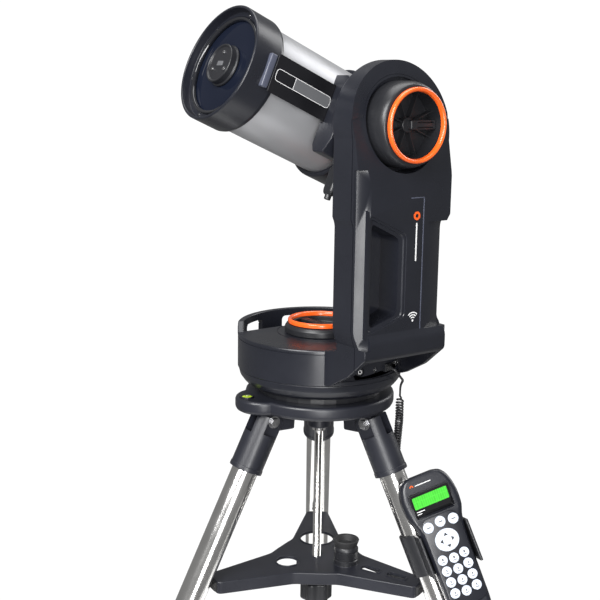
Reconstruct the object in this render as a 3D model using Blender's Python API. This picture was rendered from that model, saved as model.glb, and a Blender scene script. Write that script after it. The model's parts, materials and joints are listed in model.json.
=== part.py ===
"""Schmidt-Cassegrain telescope on a motorised single-arm mount and a steel tripod.

Lengths are in millimetres and turn into metres as each mesh is made.
Mount frame: origin on top of the tripod head on the azimuth axis, +X along the
altitude axis out of the arm, the tube's front towards -Y, +Z up.
"""
import math

import bmesh
import bpy
from mathutils import Matrix, Vector

MM = 0.001
GAP = 0.3                       # clearance between touching pieces

# ---- driving dimensions -------------------------------------------------------
HEAD_HEIGHT = 652.0             # floor to the top of the tripod head, legs closed
AXIS_X, AXIS_Y = -23.96, 74.8    # azimuth axis seen from the middle of the footprint
ALT_HEIGHT = 385.0              # altitude axis above the tripod head
ALT_ANGLE = math.radians(23.4)  # how far the tube points up at rest
TUBE_R = 73.0                   # outer radius of the optical tube

DRUM_R = 119.5                  # rotating base
DRUM_LOW, DECK = 34.0, 84.0
WELL_X, WELL_FLOOR = -58.0, 57.0
BAND_TOP, BAND_R = 96.0, 111.5
KNOB_R, RING_OUT, RING_IN = 55.0, 47.6, 41.5

ARM_IN, ARM_SPLIT, ARM_OUT = 122.0, 162.0, 178.0
ARM_WALL = 4.0
HEAD_R = 81.0                   # rounded top of the arm
POCKET = ((-55, 127), (-9, 141), (-9, 241), (-55, 263))
POCKET_WALL = ((-58, 122), (-6, 138), (-6, 244), (-58, 268))
POCKET_FLOOR = 138.0
FOOT_Y = (-68.0, 72.0)
PORT_AZIMUTH, PORT_Z, PLUG_END = 13.6, 52.0, 121.5

LEG_AZIMUTHS = (142.9, 262.9, 22.9)
LEG_TILT = math.radians(25.56)
PIN_R, PIN_Z = 83.0, -37.0      # hinge pin of each leg
LEG_OFF = 3.6                   # leg axis outside the pin
LEG_R, SLEEVE_R, INNER_LEG_R = 19.0, 23.5, 16.0
LEG_END, FOOT_END = 600.0, 680.0
SPREADER_Z = -265.0
PLATE_R = 6.5                   # threaded centre rod

# hand control: +X across the keys, +Y up the case, +Z out of the face
HC_LENGTH, HC_TOP = 207.0, 100.0
HC_BEND, HC_BEND_ANGLE = 56.0, math.radians(12)  # the head above the bend leans back
HC_LEG_X, HC_LEG_Z = -30.0, -58.0                # the leg's axis, seen from the hand control
HC_DOWN = 190.0                                  # along the leg to the hand control's origin
HC_YAW = math.radians(50.0)                      # face turned about the leg, from radial
HC_STATIONS = ((0, 20, 12), (4, 29, 20), (14, 36, 25), (34, 40, 26), (HC_BEND, 38.5, 27), (72, 33.5, 28),
               (104, 30.5, 30), (160, 29.5, 28), (197, 28, 24), (HC_LENGTH, 23, 17))
GLAND_R, GLAND_LENGTH, GLAND_Z = 5.5, 8.0, -9.0
KEY_ROW, PAD_ROW, NUMBER_ROW = 70.0, 94.0, 118.0  # from the top of the case
CRADLE = (78.0, 138.0)                           # from the top of the case

# cord: (radius, azimuth, height) for the lead, leg frame for the coil
LEAD_R, COIL_R = 2.0, 6.0
LEAD_ROUTE = ((122.3, 13.6, 52), (125, 13.6, 52), (128, 13.7, 51.7), (131, 14.1, 50.2), (133.4, 15, 47),
              (134.5, 16.4, 43), (134.4, 18.4, 38.8), (133.2, 21.2, 34.6), (131, 24.6, 30.6), (128.2, 28, 26.8),
              (125, 31, 22.6), (122.4, 32.9, 18), (121.2, 33.6, 13), (121, 33.68, 8.4), (121, 33.68, 4.3))
COIL_ROUTE = ((50.04, 22.63, 21.51), (45.3, 22.63, 11.59), (40.55, 22.63, 1.67),
              (33.38, 24.37, -11.53), (24.58, 28.28, -23.95), (3.5, 32.5, -58), (-8, 31.5, -85),
              (-10, 31, -150), (-10, 31.5, -220), (-5, 35, -280), (12, 36, -328), (22, 24, -357),
              (36, 8, -371), (50, -8, -362), (59.5, -19.7, -338), (59.5, -19.7, -322),
              (59.5, -19.7, -305.6))


# ---- helpers ------------------------------------------------------------------
def clear_scene():
    for obj in list(bpy.data.objects):
        bpy.data.objects.remove(obj, do_unlink=True)


def make_material(name, colour, roughness, metallic=0.0, alpha=1.0):
    mat = bpy.data.materials.new(name)
    mat.use_nodes = True
    shader = mat.node_tree.nodes["Principled BSDF"]
    shader.inputs["Base Color"].default_value = (*colour, 1.0)
    shader.inputs["Roughness"].default_value = roughness
    shader.inputs["Metallic"].default_value = metallic
    shader.inputs["Alpha"].default_value = alpha
    return mat


def make_empty(name, parent=None, loc=(0, 0, 0), rot=(0, 0, 0)):
    empty = bpy.data.objects.new(name, None)
    bpy.context.collection.objects.link(empty)
    empty.parent = parent
    empty.location = Vector(loc) * MM
    empty.rotation_euler = rot
    return empty


def add(name, bm, mat, parent, cuts=(), joins=()):
    """Turn a bmesh in millimetres into a named object; cuts and joins are bmeshes too."""
    obj = mesh_object(name, bm, parent)
    obj.data.materials.append(MATERIALS[mat])
    obj.data.shade_smooth()
    obj.data.set_sharp_from_angle(angle=math.radians(35))
    extend(obj, parent, [("UNION", tool) for tool in joins] + [("DIFFERENCE", tool) for tool in cuts])
    return obj


def extend(obj, parent, tools):
    """Boolean steps with hidden tool objects, after those the object already has."""
    for number, (operation, tool) in enumerate(tools, len(obj.modifiers)):
        cutter = mesh_object(f"{obj.name}_tool_{number}", tool, parent)
        cutter.hide_render = True
        cutter.display_type = "WIRE"
        boolean = obj.modifiers.new(f"tool_{number}", "BOOLEAN")
        boolean.object = cutter
        boolean.operation = operation
        boolean.solver = "EXACT"


def mesh_object(name, bm, parent):
    bmesh.ops.recalc_face_normals(bm, faces=bm.faces)
    if bm.calc_volume(signed=True) < 0:
        bmesh.ops.reverse_faces(bm, faces=bm.faces)
    bmesh.ops.scale(bm, vec=(MM, MM, MM), verts=bm.verts)
    mesh = bpy.data.meshes.new(name)
    bm.to_mesh(mesh)
    bm.free()
    obj = bpy.data.objects.new(name, mesh)
    bpy.context.collection.objects.link(obj)
    obj.parent = parent
    return obj


def merged(*parts):
    """Put several bmeshes in one, as separate solids."""
    whole = bmesh.new()
    for part in parts:
        mesh = bpy.data.meshes.new("part")
        part.to_mesh(mesh)
        whole.from_mesh(mesh)
        bpy.data.meshes.remove(mesh)
        part.free()
    return whole


def moved(bm, *matrices):
    for matrix in matrices:
        bm.transform(matrix)
    return bm


def shift(x=0.0, y=0.0, z=0.0):
    return Matrix.Translation((x, y, z))


def turn(axis, degrees):
    return Matrix.Rotation(math.radians(degrees), 4, axis)


ALONG_X = turn("Y", 90)         # turns +Z into +X
FORWARD = turn("X", 90)         # turns +Z into -Y, the way the tube points


def arc(radius, start, end, count, centre=(0.0, 0.0)):
    """Points on an arc, angles in degrees, both ends included."""
    angles = [math.radians(start + (end - start) * i / (count - 1)) for i in range(count)]
    return [(centre[0] + radius * math.cos(a), centre[1] + radius * math.sin(a)) for a in angles]


def circle(radius, count, centre=(0.0, 0.0)):
    return arc(radius, 0, 360 - 360 / count, count, centre)


def rounded(width, height, corner, count=3, centre=(0.0, 0.0)):
    """Rounded rectangle, anticlockwise."""
    points = []
    for quarter, (sx, sy) in enumerate(((1, 1), (-1, 1), (-1, -1), (1, -1))):
        mid = (centre[0] + sx * (width / 2 - corner), centre[1] + sy * (height / 2 - corner))
        points += arc(corner, 90 * quarter, 90 * quarter + 90, count, mid)
    return points


def lathe(profile, steps=32):
    """Turn (radius, height) points about Z; a profile that starts off the axis is a ring."""
    bm = bmesh.new()
    verts = [bm.verts.new((r, 0.0, z)) for r, z in profile]
    edges = [bm.edges.new(pair) for pair in zip(verts, verts[1:])]
    if profile[0][0] > 0:
        edges.append(bm.edges.new((verts[-1], verts[0])))
    bmesh.ops.spin(bm, geom=verts + edges, cent=(0, 0, 0), axis=(0, 0, 1), dvec=(0, 0, 0),
                   angle=2 * math.pi, steps=steps, use_merge=True)
    bmesh.ops.remove_doubles(bm, verts=bm.verts, dist=1e-4)
    return bm


def disc(radius, low, high, steps=24):
    return lathe([(0, low), (radius, low), (radius, high), (0, high)], steps)


def ring(outer, inner, low, high, steps=32):
    return lathe([(inner, low), (outer, low), (outer, high), (inner, high)], steps)


def prism(outline, low, high):
    """Extrude a flat outline along Z."""
    bm = bmesh.new()
    face = bm.faces.new([bm.verts.new((x, y, low)) for x, y in outline])
    grown = bmesh.ops.extrude_face_region(bm, geom=[face])["geom"]
    bmesh.ops.translate(bm, vec=(0, 0, high - low),
                        verts=[v for v in grown if isinstance(v, bmesh.types.BMVert)])
    return bm


def box(x, y, z):
    return prism([(x[0], y[0]), (x[1], y[0]), (x[1], y[1]), (x[0], y[1])], *z)


def side_prism(outline, low, high):
    """Extrude a (y, z) outline along X."""
    swap = Matrix(((0, 0, 1, 0), (1, 0, 0, 0), (0, 1, 0, 0), (0, 0, 0, 1)))
    return moved(prism(outline, low, high), swap)


def front_prism(outline, low, high):
    """Extrude an (x, z) outline along Y."""
    swap = Matrix(((1, 0, 0, 0), (0, 0, 1, 0), (0, 1, 0, 0), (0, 0, 0, 1)))
    return moved(prism(outline, low, high), swap)


def loft(sections):
    """Skin rings of equal point counts and close both ends."""
    bm = bmesh.new()
    rings = [[bm.verts.new(point) for point in section] for section in sections]
    count = len(sections[0])
    for low, high in zip(rings, rings[1:]):
        for i in range(count):
            j = (i + 1) % count
            bm.faces.new((low[i], low[j], high[j], high[i]))
    bm.faces.new(rings[0])
    bm.faces.new(rings[-1])
    return bm


def sector(inner, outer, start, end, low, high, count=7):
    """Wedge of a ring between two azimuths."""
    return prism(arc(outer, start, end, count) + arc(inner, end, start, count), low, high)


def gear(teeth, root, tip, bore, low, high):
    """Ring with pointed teeth, for a worm to run on."""
    outer = [(tip if i % 2 else root) for i in range(2 * teeth)]
    steps = [2 * math.pi * i / (2 * teeth) for i in range(2 * teeth)]
    bm = bmesh.new()
    loops = []
    for z, radii in ((low, outer), (high, outer), (high, [bore] * 2 * teeth), (low, [bore] * 2 * teeth)):
        loops.append([bm.verts.new((r * math.cos(a), r * math.sin(a), z)) for r, a in zip(radii, steps)])
    for one, two in zip(loops, loops[1:] + loops[:1]):
        for i in range(2 * teeth):
            j = (i + 1) % (2 * teeth)
            bm.faces.new((one[i], one[j], two[j], two[i]))
    return bm


def fluted(radius, depth, lobes, low, high, per_lobe=6):
    """Knob with a wavy rim."""
    count = lobes * per_lobe
    outline = []
    for i in range(count):
        angle = 2 * math.pi * i / count
        r = radius - depth * (0.5 - 0.5 * math.cos(lobes * angle))
        outline.append((r * math.cos(angle), r * math.sin(angle)))
    return prism(outline, low, high)


def half_disc(radius, keep_right, cut_x, low, high):
    """Disc cut off along a line of constant x; keeps the side asked for."""
    angle = math.degrees(math.acos(cut_x / radius))
    if keep_right:
        return prism(arc(radius, -angle, angle, 33), low, high)
    return prism(arc(radius, angle, 360 - angle, 17), low, high)


def inset(outline, distance):
    """Move a convex-ish outline inwards by a fixed distance."""
    count = len(outline)
    result = []
    for i in range(count):
        before, here, after = (Vector(outline[(i + k) % count]) for k in (-1, 0, 1))
        one = (here - before).normalized()
        two = (after - here).normalized()
        normal = Vector((-one.y - two.y, one.x + two.x)).normalized()
        scale = distance / max(0.5, normal.dot(Vector((-one.y, one.x))))
        result.append(tuple(here + normal * scale))
    return result


MATERIALS = {
    "charcoal": make_material("charcoal plastic", (0.045, 0.048, 0.06), 0.42),
    "black": make_material("black plastic", (0.012, 0.012, 0.014), 0.35),
    "casting": make_material("painted casting", (0.04, 0.042, 0.052), 0.48),
    "orange": make_material("orange ring", (0.80, 0.13, 0.012), 0.32),
    "silver": make_material("satin tube", (0.52, 0.52, 0.54), 0.38, 0.85),
    "steel": make_material("polished steel", (0.62, 0.61, 0.59), 0.16, 1.0),
    "brass": make_material("brass gear", (0.62, 0.45, 0.18), 0.35, 1.0),
    "glass": make_material("corrector glass", (0.75, 0.85, 0.82), 0.03, 0.0, 0.3),
    "mirror": make_material("mirror coating", (0.9, 0.91, 0.92), 0.04, 1.0),
    "rubber": make_material("black rubber", (0.015, 0.015, 0.016), 0.75),
    "keys": make_material("pale silicone", (0.62, 0.64, 0.68), 0.5),
    "screen": make_material("green display", (0.05, 0.42, 0.04), 0.25),
    "level": make_material("level fluid", (0.55, 0.72, 0.05), 0.2),
    "battery": make_material("battery wrap", (0.04, 0.12, 0.3), 0.5),
}


# ---- tripod -------------------------------------------------------------------
def head_outline(grow):
    """Round plate with one lobe for the level, centred over a leg."""
    middle = Vector((92.0, 0.0))
    lobe, disc_r = 40.0 + grow, 108.0 + grow
    meet = math.degrees(math.acos((disc_r ** 2 + middle.x ** 2 - lobe ** 2) / (2 * disc_r * middle.x)))
    x = disc_r * math.cos(math.radians(meet)) - middle.x
    swing = math.degrees(math.acos(x / lobe))
    points = arc(disc_r, meet, 360 - meet, 27) + arc(lobe, -swing, swing, 9, middle)[1:-1]
    return [tuple(Vector(p) @ Matrix.Rotation(math.radians(-LEG_AZIMUTHS[1]), 2)) for p in points]


def make_head(parent):
    levels = ((-20.0, -5.0), (-16.0, 0.0), (-4.0, 0.0), (0.0, -3.0))
    plate = loft([[(x, y, z) for x, y in head_outline(grow)] for z, grow in levels])
    ribs, pins = [], []
    for azimuth in LEG_AZIMUTHS:
        outline = [(44, -22), (46, -54), (94, -54), (97, -46), (97, -19), (44, -19)]
        ribs.append(moved(front_prism(outline, -9, 9), turn("Z", azimuth)))
        pins.append(moved(disc(4.4, -30, 30, 8), turn("X", 90), shift(PIN_R, 0, PIN_Z), turn("Z", azimuth)))
    boss = disc(17, -58, -10, 20)
    rod_hole = disc(PLATE_R + GAP, -70, -30, 16)
    add("tripod_head", plate, "casting", parent, [merged(rod_hole, *pins)], [merged(boss, *ribs)])


def make_bolts(parent):
    """Hinge bolts with a head and a nut, each through a rib and its leg's ears."""
    profile = [(0, -21), (7, -21), (7, -17), (4, -17), (4, 17), (7, 17), (7, 22), (0, 22)]
    for number, azimuth in enumerate(LEG_AZIMUTHS, 1):
        place = (turn("X", 90), shift(PIN_R, 0, PIN_Z), turn("Z", azimuth))
        add(f"leg_{number}_hinge_bolt", moved(lathe(profile, 8), *place), "steel", parent)


def make_root(parent):
    make_head(parent)
    make_bolts(parent)
    lobe = math.radians(LEG_AZIMUTHS[1])
    place = shift(118 * math.cos(lobe), 118 * math.sin(lobe))
    add("bubble_level", moved(lathe([(0, GAP), (8, GAP), (8, 1.4), (5, 2.2), (0, 2.4)], 16), place),
        "level", parent)
    rod = lathe([(0, -345), (PLATE_R, -345), (PLATE_R, -64), (9.5, -64), (9.5, -58 - GAP),
                 (6.2, -58 - GAP), (6.2, -31), (0, -31)], 12)
    add("centre_rod", rod, "steel", parent)
    plate = lathe([(0, GAP), (90, GAP), (90, 7.6), (23, 7.6), (23, 32), (0, 32)], 32)
    add("azimuth_base", plate, "black", parent, (), [gear(22, 58, 62, 20, 20, 27)])


def spreader_outline(grow):
    """Three tapering arms round a hub."""
    points = []
    for azimuth in LEG_AZIMUTHS[::-1]:
        arm = [(46, -46), (58, -38), (150, -21), (171, -17), (171, 17), (150, 21), (58, 38), (46, 46)]
        for x, y in arm:
            x, y = x - grow * (x > 100), y - math.copysign(grow, y)
            a = math.radians(azimuth)
            points.append((x * math.cos(a) - y * math.sin(a), x * math.sin(a) + y * math.cos(a)))
    # the arms are listed clockwise, each one anticlockwise: put them in one turn
    arms = [points[i * 8:(i + 1) * 8] for i in range(3)]
    return arms[0] + arms[2] + arms[1]


def make_spreader(parent):
    top, skirt = SPREADER_Z + 3, SPREADER_Z - 15
    body = prism(spreader_outline(0), skirt, top)
    hollow = prism(spreader_outline(3), skirt - 5, SPREADER_Z)
    hub = disc(27, SPREADER_Z - 33, top, 24)
    cuts = [disc(PLATE_R + 0.5, SPREADER_Z - 50, top + 10, 12)]
    for azimuth, hole_r in ((LEG_AZIMUTHS[0], 25.5), (LEG_AZIMUTHS[1], 16.2), (LEG_AZIMUTHS[2], 16.2)):
        cuts.append(moved(disc(hole_r, SPREADER_Z - 5, top + 10, 16), shift(62 if hole_r > 20 else 50),
                          turn("Z", azimuth)))
    for x in (92.0, 134.0):
        slot = prism(rounded(30, 14, 6.9, 3, (x, 0)), SPREADER_Z - 5, top + 10)
        cuts.append(moved(slot, turn("Z", LEG_AZIMUTHS[2])))
    obj = add("spreader", body, "casting", parent, [hollow])
    extend(obj, parent, [("UNION", hub), ("DIFFERENCE", merged(*cuts))])
    knob = fluted(24, 4, 6, SPREADER_Z - 66, SPREADER_Z - 36)
    add("spreader_knob", knob, "black", parent, [disc(PLATE_R + 0.5, SPREADER_Z - 80, SPREADER_Z, 12)],
        [disc(13, SPREADER_Z - 38, SPREADER_Z - 33 - GAP, 16)])


def make_spare_eyepiece(parent):
    """Stands with its barrel in the spreader's hole."""
    low = SPREADER_Z + 3 + GAP
    profile = [(0, low - 16), (15.8, low - 16), (15.8, low), (18, low), (18, low + 24), (16, low + 28),
               (19, low + 38), (15, low + 38), (11, low + 30), (0, low + 29)]
    add("spare_eyepiece", moved(lathe(profile, 16), shift(50), turn("Z", LEG_AZIMUTHS[2])), "black", parent)


def make_leg(number, azimuth, root):
    """Leg frame: origin on the hinge pin, -Z down the leg, +X outwards."""
    place = math.radians(azimuth)
    leg = make_empty(f"leg_{number}", root, (PIN_R * math.cos(place), PIN_R * math.sin(place), PIN_Z),
                     (0, -LEG_TILT, place))
    axis = shift(LEG_OFF)
    sleeve = moved(disc(SLEEVE_R, -78, 5, 18), axis)
    ear = box((-14, 16), (-15.2, 15.2), (-34, 10))
    slot = box((-60, 60), (-9.3, 9.3), (-24, 40))
    pin = moved(disc(4 + GAP, -40, 40, 10), turn("X", 90))
    bore = moved(disc(LEG_R + GAP, -90, -30, 20), axis)
    flats = merged(box((-60, 12), (15.5, 40), (-21, 40)), box((-60, 12), (-40, -15.5), (-21, 40)))
    collar = -LEG_END + 30
    tube = [(LEG_R - 1.5, -31), (LEG_R, -31), (LEG_R, collar), (25, collar), (25, -LEG_END - 8),
            (INNER_LEG_R + GAP, -LEG_END - 8), (INNER_LEG_R + GAP, -LEG_END), (LEG_R - 1.5, -LEG_END)]
    add(f"leg_{number}_hinge_sleeve", sleeve, "casting", leg, [slot, pin, bore, flats], [ear])
    add(f"leg_{number}_tube", moved(lathe(tube, 20), axis), "steel", leg)
    across = (ALONG_X, shift(LEG_OFF, 0, -LEG_END + 11))
    knob = moved(fluted(14, 2.5, 5, 34, 50, 4), *across)
    stem = moved(disc(5, 25 + GAP, 35, 10), *across)
    add(f"leg_{number}_lock_knob", knob, "black", leg, (), [stem])
    inner = ring(INNER_LEG_R, INNER_LEG_R - 2, -FOOT_END + 24, -120, 16)
    add(f"leg_{number}_extension", moved(inner, axis), "steel", leg)
    make_foot(number, leg)


def make_foot(number, leg):
    """Rubber foot whose sole is level with the floor."""
    low = -FOOT_END - 30
    foot = moved(disc(20, low, -FOOT_END + 24 - GAP, 16), shift(LEG_OFF))
    plug = moved(disc(INNER_LEG_R - 2 - GAP, -FOOT_END, -FOOT_END + 50, 12), shift(LEG_OFF))
    floor = PIN_Z + HEAD_HEIGHT
    under = box((0, 600), (-60, 60), (-200, 0))
    under = moved(under, shift(0, 0, -floor), turn("Y", math.degrees(LEG_TILT)))
    add(f"leg_{number}_foot", foot, "rubber", leg, [under], [plug])


# ---- rotating base ------------------------------------------------------------
def make_base(parent):
    bowl = [(26, 8.2), (92, 8.2), (101, 10.5), (110, 16), (116, 24), (118.6, DRUM_LOW), (114.5, DRUM_LOW),
            (112, 25.5), (107, 18.5), (99, 14), (91, 11.5), (26, 11.5)]
    add("base_lower_housing", lathe(bowl, 32), "charcoal", parent)

    shell = lathe([(0, DRUM_LOW + GAP), (DRUM_R, DRUM_LOW + GAP), (DRUM_R, BAND_TOP - 1.5),
                   (DRUM_R - 1.5, BAND_TOP), (0, BAND_TOP)], 48)
    low = DRUM_LOW - 5
    cuts = [half_disc(115.5, True, WELL_X + 4, low, DECK - 3), half_disc(115.5, False, WELL_X + 4 + 1e-3,
            low, WELL_FLOOR - 3), half_disc(BAND_R, False, WELL_X, WELL_FLOOR, 120),
            prism(arc(150, -127, 127, 9) + [(WELL_X, 76), (WELL_X, -76)], DECK, 130)]
    for start, end in ((195, 219), (151, 175)):
        cuts.append(sector(100, 130, start, end, 61, 85, 5))
    cuts.append(sector(117.5, 130, -24, 38, 40, 66, 9))
    ports = ((-10, 6), (2, 4), (29, 5))
    holes = [port_tool(azimuth, disc(radius, 105, 125, 12)) for azimuth, radius in ports]
    holes.append(port_tool(PORT_AZIMUTH, box((-5.8, 5.8), (-6.3, 6.3), (105, 125))))
    add("base_upper_housing", shell, "charcoal", parent, [*cuts, merged(*holes)])

    add("power_button", port_tool(-10, disc(5.5, 109, 118.5, 16)), "keys", parent)
    add("hand_control_plug", port_tool(PORT_AZIMUTH, box((-5.5, 5.5), (-6, 6), (110, PLUG_END))),
        "black", parent)


def port_tool(azimuth, bm):
    """Place a shape built along +Z so that it points out of the drum at the port height."""
    return moved(bm, ALONG_X, turn("Z", azimuth), shift(0, 0, PORT_Z))


def knob_cup(height):
    """Deep cup that turns the clutch, built along +Z from its foot, with a grip bar inside."""
    cup = lathe([(0, 0), (KNOB_R - 1.5, 0), (KNOB_R, 1.5), (KNOB_R - 1.5, height - 8),
                 (RING_OUT + 1, height - 3), (RING_IN, height - 3), (RING_IN, 14), (0, 14)], 32)
    hub = disc(9, 10, height - 16, 12)
    bar = prism(rounded(12, RING_IN + 2, 2, 2, (0, RING_IN / 2)), 10, height - 12)
    return cup, [bar, hub]


def knob_ring(height):
    """Coloured ring round the cup's mouth; its outer face is at height."""
    profile = [(RING_IN, height - 2.7), (RING_OUT, height - 2.7), (RING_OUT, height + 2.5),
               (RING_OUT - 2, height + 4.3), (RING_IN + 1, height + 2.5)]
    return lathe(profile, 32)


def make_clutches(azimuth_body):
    """Azimuth clutch on the deck, altitude clutch in the arm's outer face."""
    level = DECK + GAP
    rise = make_empty("azimuth_clutch", azimuth_body, (0, 0, level))
    cup = lathe([(0, 0), (52, 0), (52, 9), (RING_OUT + 1.5, 13), (RING_IN, 13), (RING_IN, 5), (0, 5)], 32)
    bar = prism(rounded(2 * RING_IN + 2, 12, 2, 2), 3, 12)
    add("azimuth_clutch_knob", cup, "black", rise, (), [bar, disc(9, 3, 10, 12)])
    add("azimuth_clutch_ring", knob_ring(16.0), "orange", rise)

    side = make_empty("altitude_clutch", azimuth_body, (ARM_OUT - 27.5, 0, ALT_HEIGHT), (0, math.pi / 2, 0))
    cup, bars = knob_cup(42.0)
    add("altitude_clutch_knob", cup, "black", side, (), bars)
    add("altitude_clutch_ring", knob_ring(42.0), "orange", side)


def arm_outline():
    """Side view of the arm: (y, z) from the rear foot up over the head and down the front."""
    rear = [(72, 100), (76, 106), (76, 120), (70, 128), (70, 256), (78, 268)]
    top = arc(HEAD_R, -15, 193, 25, (0.0, ALT_HEIGHT))
    front = [(-79, 268), (-75, 258), (-75, 120), (-70, 104), (-68, 100)]
    return rear + top + front


def arm_section(low, high, grow=0.0):
    """Arm outline between two X planes; the head's outer face leans in towards the top."""
    outline = inset(arm_outline(), -grow) if grow else arm_outline()
    return side_prism(outline, low, high)


def lean(offset):
    """Wedge that shaves the head's outer face."""
    x = ARM_OUT - offset
    return front_prism([(x, 312), (x - 30, 470), (x - 30, 520), (260, 520), (260, 312)], -120, 120)


def arm_edges(offset):
    """Wedges for the outer shell's long edges: the front one all the way, the rear one as a panel."""
    lean_in = 1.2 * offset
    x, y = ARM_OUT - lean_in, 59
    front = prism([(x - 11, -y - 31), (x - 11, -y - 16), (x, -y), (200, -y), (200, -y - 31)],
                  100 - offset, 330 + offset)
    rear = prism([(x + 0.2, 36), (200, 36), (200, 90), (x - 12, 90), (x - 12, 70)],
                 118 - offset, 260 + offset)
    return merged(front, rear)


FOOT_OUTLINE = [(98, 35), (109, 37), (149, 59), (183, 88), (183, 108), (177, 122), (123, 122), (123, 90),
                (98, 84.6)]
FOOT_HOLLOW = [(90, 20), (112, 24), (152, 45), (176, 74), (176, 99), (130, 99), (118, 82), (90, 82)]


def make_arm(parent):
    """Two half shells with a grip pocket, a sunk seat for the clutch knob and a hollow foot."""
    tall = (-120, 120)
    drum = disc(DRUM_R + GAP, -10, DECK + 1.5, 48)
    foot_cut = front_prism(FOOT_HOLLOW, FOOT_Y[0] + 9, FOOT_Y[1] - 9)
    inner = arm_section(ARM_IN, ARM_SPLIT + 3)
    hollow = arm_section(ARM_IN + ARM_WALL, ARM_SPLIT + 5, -ARM_WALL)
    beyond = box((ARM_SPLIT, 260), tall, (0, 600))
    axle_hole = moved(disc(20, 100, 140, 24), ALONG_X, shift(0, 0, ALT_HEIGHT))
    seat_hole = moved(disc(63.4, ARM_OUT - 31.4, 220, 48), ALONG_X, shift(0, 0, ALT_HEIGHT))
    foot = front_prism(FOOT_OUTLINE, *FOOT_Y)
    cuts = [beyond, lean(0), foot_cut, drum, axle_hole, seat_hole, hollow]
    shell = add("arm_inner_shell", inner, "charcoal", parent, cuts, [foot])
    extend(shell.modifiers[-1].object, parent, [("DIFFERENCE", lean(ARM_WALL))])

    outer = arm_section(ARM_SPLIT - 3, ARM_OUT)
    foot = front_prism(FOOT_OUTLINE, *FOOT_Y)
    before = box((50, ARM_SPLIT + GAP), tall, (0, 600))
    foot_cut = front_prism(FOOT_HOLLOW, FOOT_Y[0] + 9, FOOT_Y[1] - 9)
    shell = add("arm_outer_shell", outer, "charcoal", parent, [foot_cut, before], [foot])
    head = moved(disc(75, ARM_SPLIT + GAP, ARM_OUT - 0.4, 48), ALONG_X, shift(0, 0, ALT_HEIGHT))
    hollow = arm_section(ARM_SPLIT - 5, ARM_OUT - ARM_WALL, -ARM_WALL)
    extend(shell, parent, [("DIFFERENCE", arm_edges(0)), ("UNION", head), ("DIFFERENCE", hollow)])
    inside = [("DIFFERENCE", lean(ARM_WALL)), ("DIFFERENCE", arm_edges(ARM_WALL))]
    extend(shell.modifiers[-1].object, parent, inside)
    well = side_prism(POCKET_WALL, POCKET_FLOOR - 3, ARM_OUT - 1)
    pocket = side_prism(POCKET, POCKET_FLOOR, 200)
    seat = moved(disc(63, ARM_OUT - 31, ARM_OUT - 1, 40), ALONG_X, shift(0, 0, ALT_HEIGHT))
    sink = moved(disc(60, ARM_OUT - 28, 220, 40), ALONG_X, shift(0, 0, ALT_HEIGHT))
    shaft = moved(disc(12, 130, 170, 20), ALONG_X, shift(0, 0, ALT_HEIGHT))
    extend(shell, parent, [("UNION", well), ("UNION", seat), ("DIFFERENCE", lean(0)),
                           ("DIFFERENCE", pocket), ("DIFFERENCE", sink), ("DIFFERENCE", shaft)])


def make_drives(parent):
    """Motor with its worm for each axis, and the battery in the arm's lower half."""
    azimuth_motor = lathe([(0, -26), (4.5, -26), (4.5, 27), (11, 27), (11, 58), (0, 58)], 14)
    add("azimuth_motor", moved(azimuth_motor, ALONG_X, shift(0, 67.5, 23.5)), "steel", parent)
    altitude_motor = lathe([(0, -22), (4.5, -22), (4.5, 22), (9.5, 22), (9.5, 58), (0, 58)], 14)
    place = (turn("X", -90), shift(136.5, 0, ALT_HEIGHT - 55.5))
    add("altitude_motor", moved(altitude_motor, *place), "steel", parent)
    pack = prism(rounded(18, 38, 7, 3, (138.5, 40)), 132, 262)
    add("battery_pack", pack, "battery", parent)


# ---- altitude body and optical tube ---------------------------------------------
def make_altitude(mount):
    axle = lathe([(0, 114 + GAP), (18, 114 + GAP), (18, 131), (26, 131), (26, 133), (10, 133),
                  (10, ARM_OUT - 28), (0, ARM_OUT - 28)], 20)
    wheel = moved(gear(20, 47, 50, 8, 132, 139), ALONG_X)
    add("altitude_axle", moved(axle, ALONG_X), "steel", mount, (), [wheel])
    outline = [(78, 40), (78, 25.8), (85 + GAP, 25.8), (85 + GAP, -25.8), (78, -25.8), (78, -56), (84, -66),
               (104, -66), (114, -46), (114, 30), (104, 40)]
    add("saddle", front_prism(outline, -62, 60), "charcoal", mount)
    knob = make_empty("saddle_clamp", mount, (93, -20, -66 - GAP))
    body = loft([[(x * k, y * k, z) for x, y in rounded(22, 13, 5, 3)]
                 for z, k in ((-44, 0.55), (-40, 0.9), (-12, 1.0), (-4, 0.7))])
    add("saddle_knob", body, "black", knob, (), [disc(4, -6, 0, 12), disc(4.5, -50, -42, 12)])


def along_tube(bm, *places):
    """Shapes built along +Z end up along the tube, front towards -Y."""
    return moved(bm, FORWARD, *places)


def make_tube(ota):
    rail = front_prism([(79.4, -20), (85, -25), (85, 25), (79.4, 20)], -158, 84)
    base = front_prism([(73.8, -17), (80, -20), (80, 20), (73.8, 17)], -142, 84)
    add("dovetail_rail", rail, "black", ota, (), [base])
    add("optical_tube", along_tube(ring(TUBE_R, TUBE_R - 1.5, -21.5, 151.7, 36)), "silver", ota)
    cell = [(73.4, 143), (76, 143.4), (79, 149), (79, 188), (77, 190), (75, 190), (74.6, 178),
            (63, 180), (63, 176), (66.5, 176), (66.5, 171), (62, 171), (62, 167), (71, 152), (73.4, 152)]
    tab = box((76, 84), (-168, -158.5), (-22, 22))
    add("front_cell", along_tube(lathe(cell, 36)), "charcoal", ota, (), [tab])
    add("corrector_plate", along_tube(ring(66.2, 22.3, 171.4, 175.6, 28)), "glass", ota)
    holder = [(0, 158), (20, 158), (20, 163), (16, 164), (22, 165), (22, 176), (28, 176), (28, 178.5),
              (26, 179), (26, 188), (23.5, 188), (22.5, 186), (0, 186)]
    add("secondary_cell", along_tube(lathe(holder, 24)), "black", ota)


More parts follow.
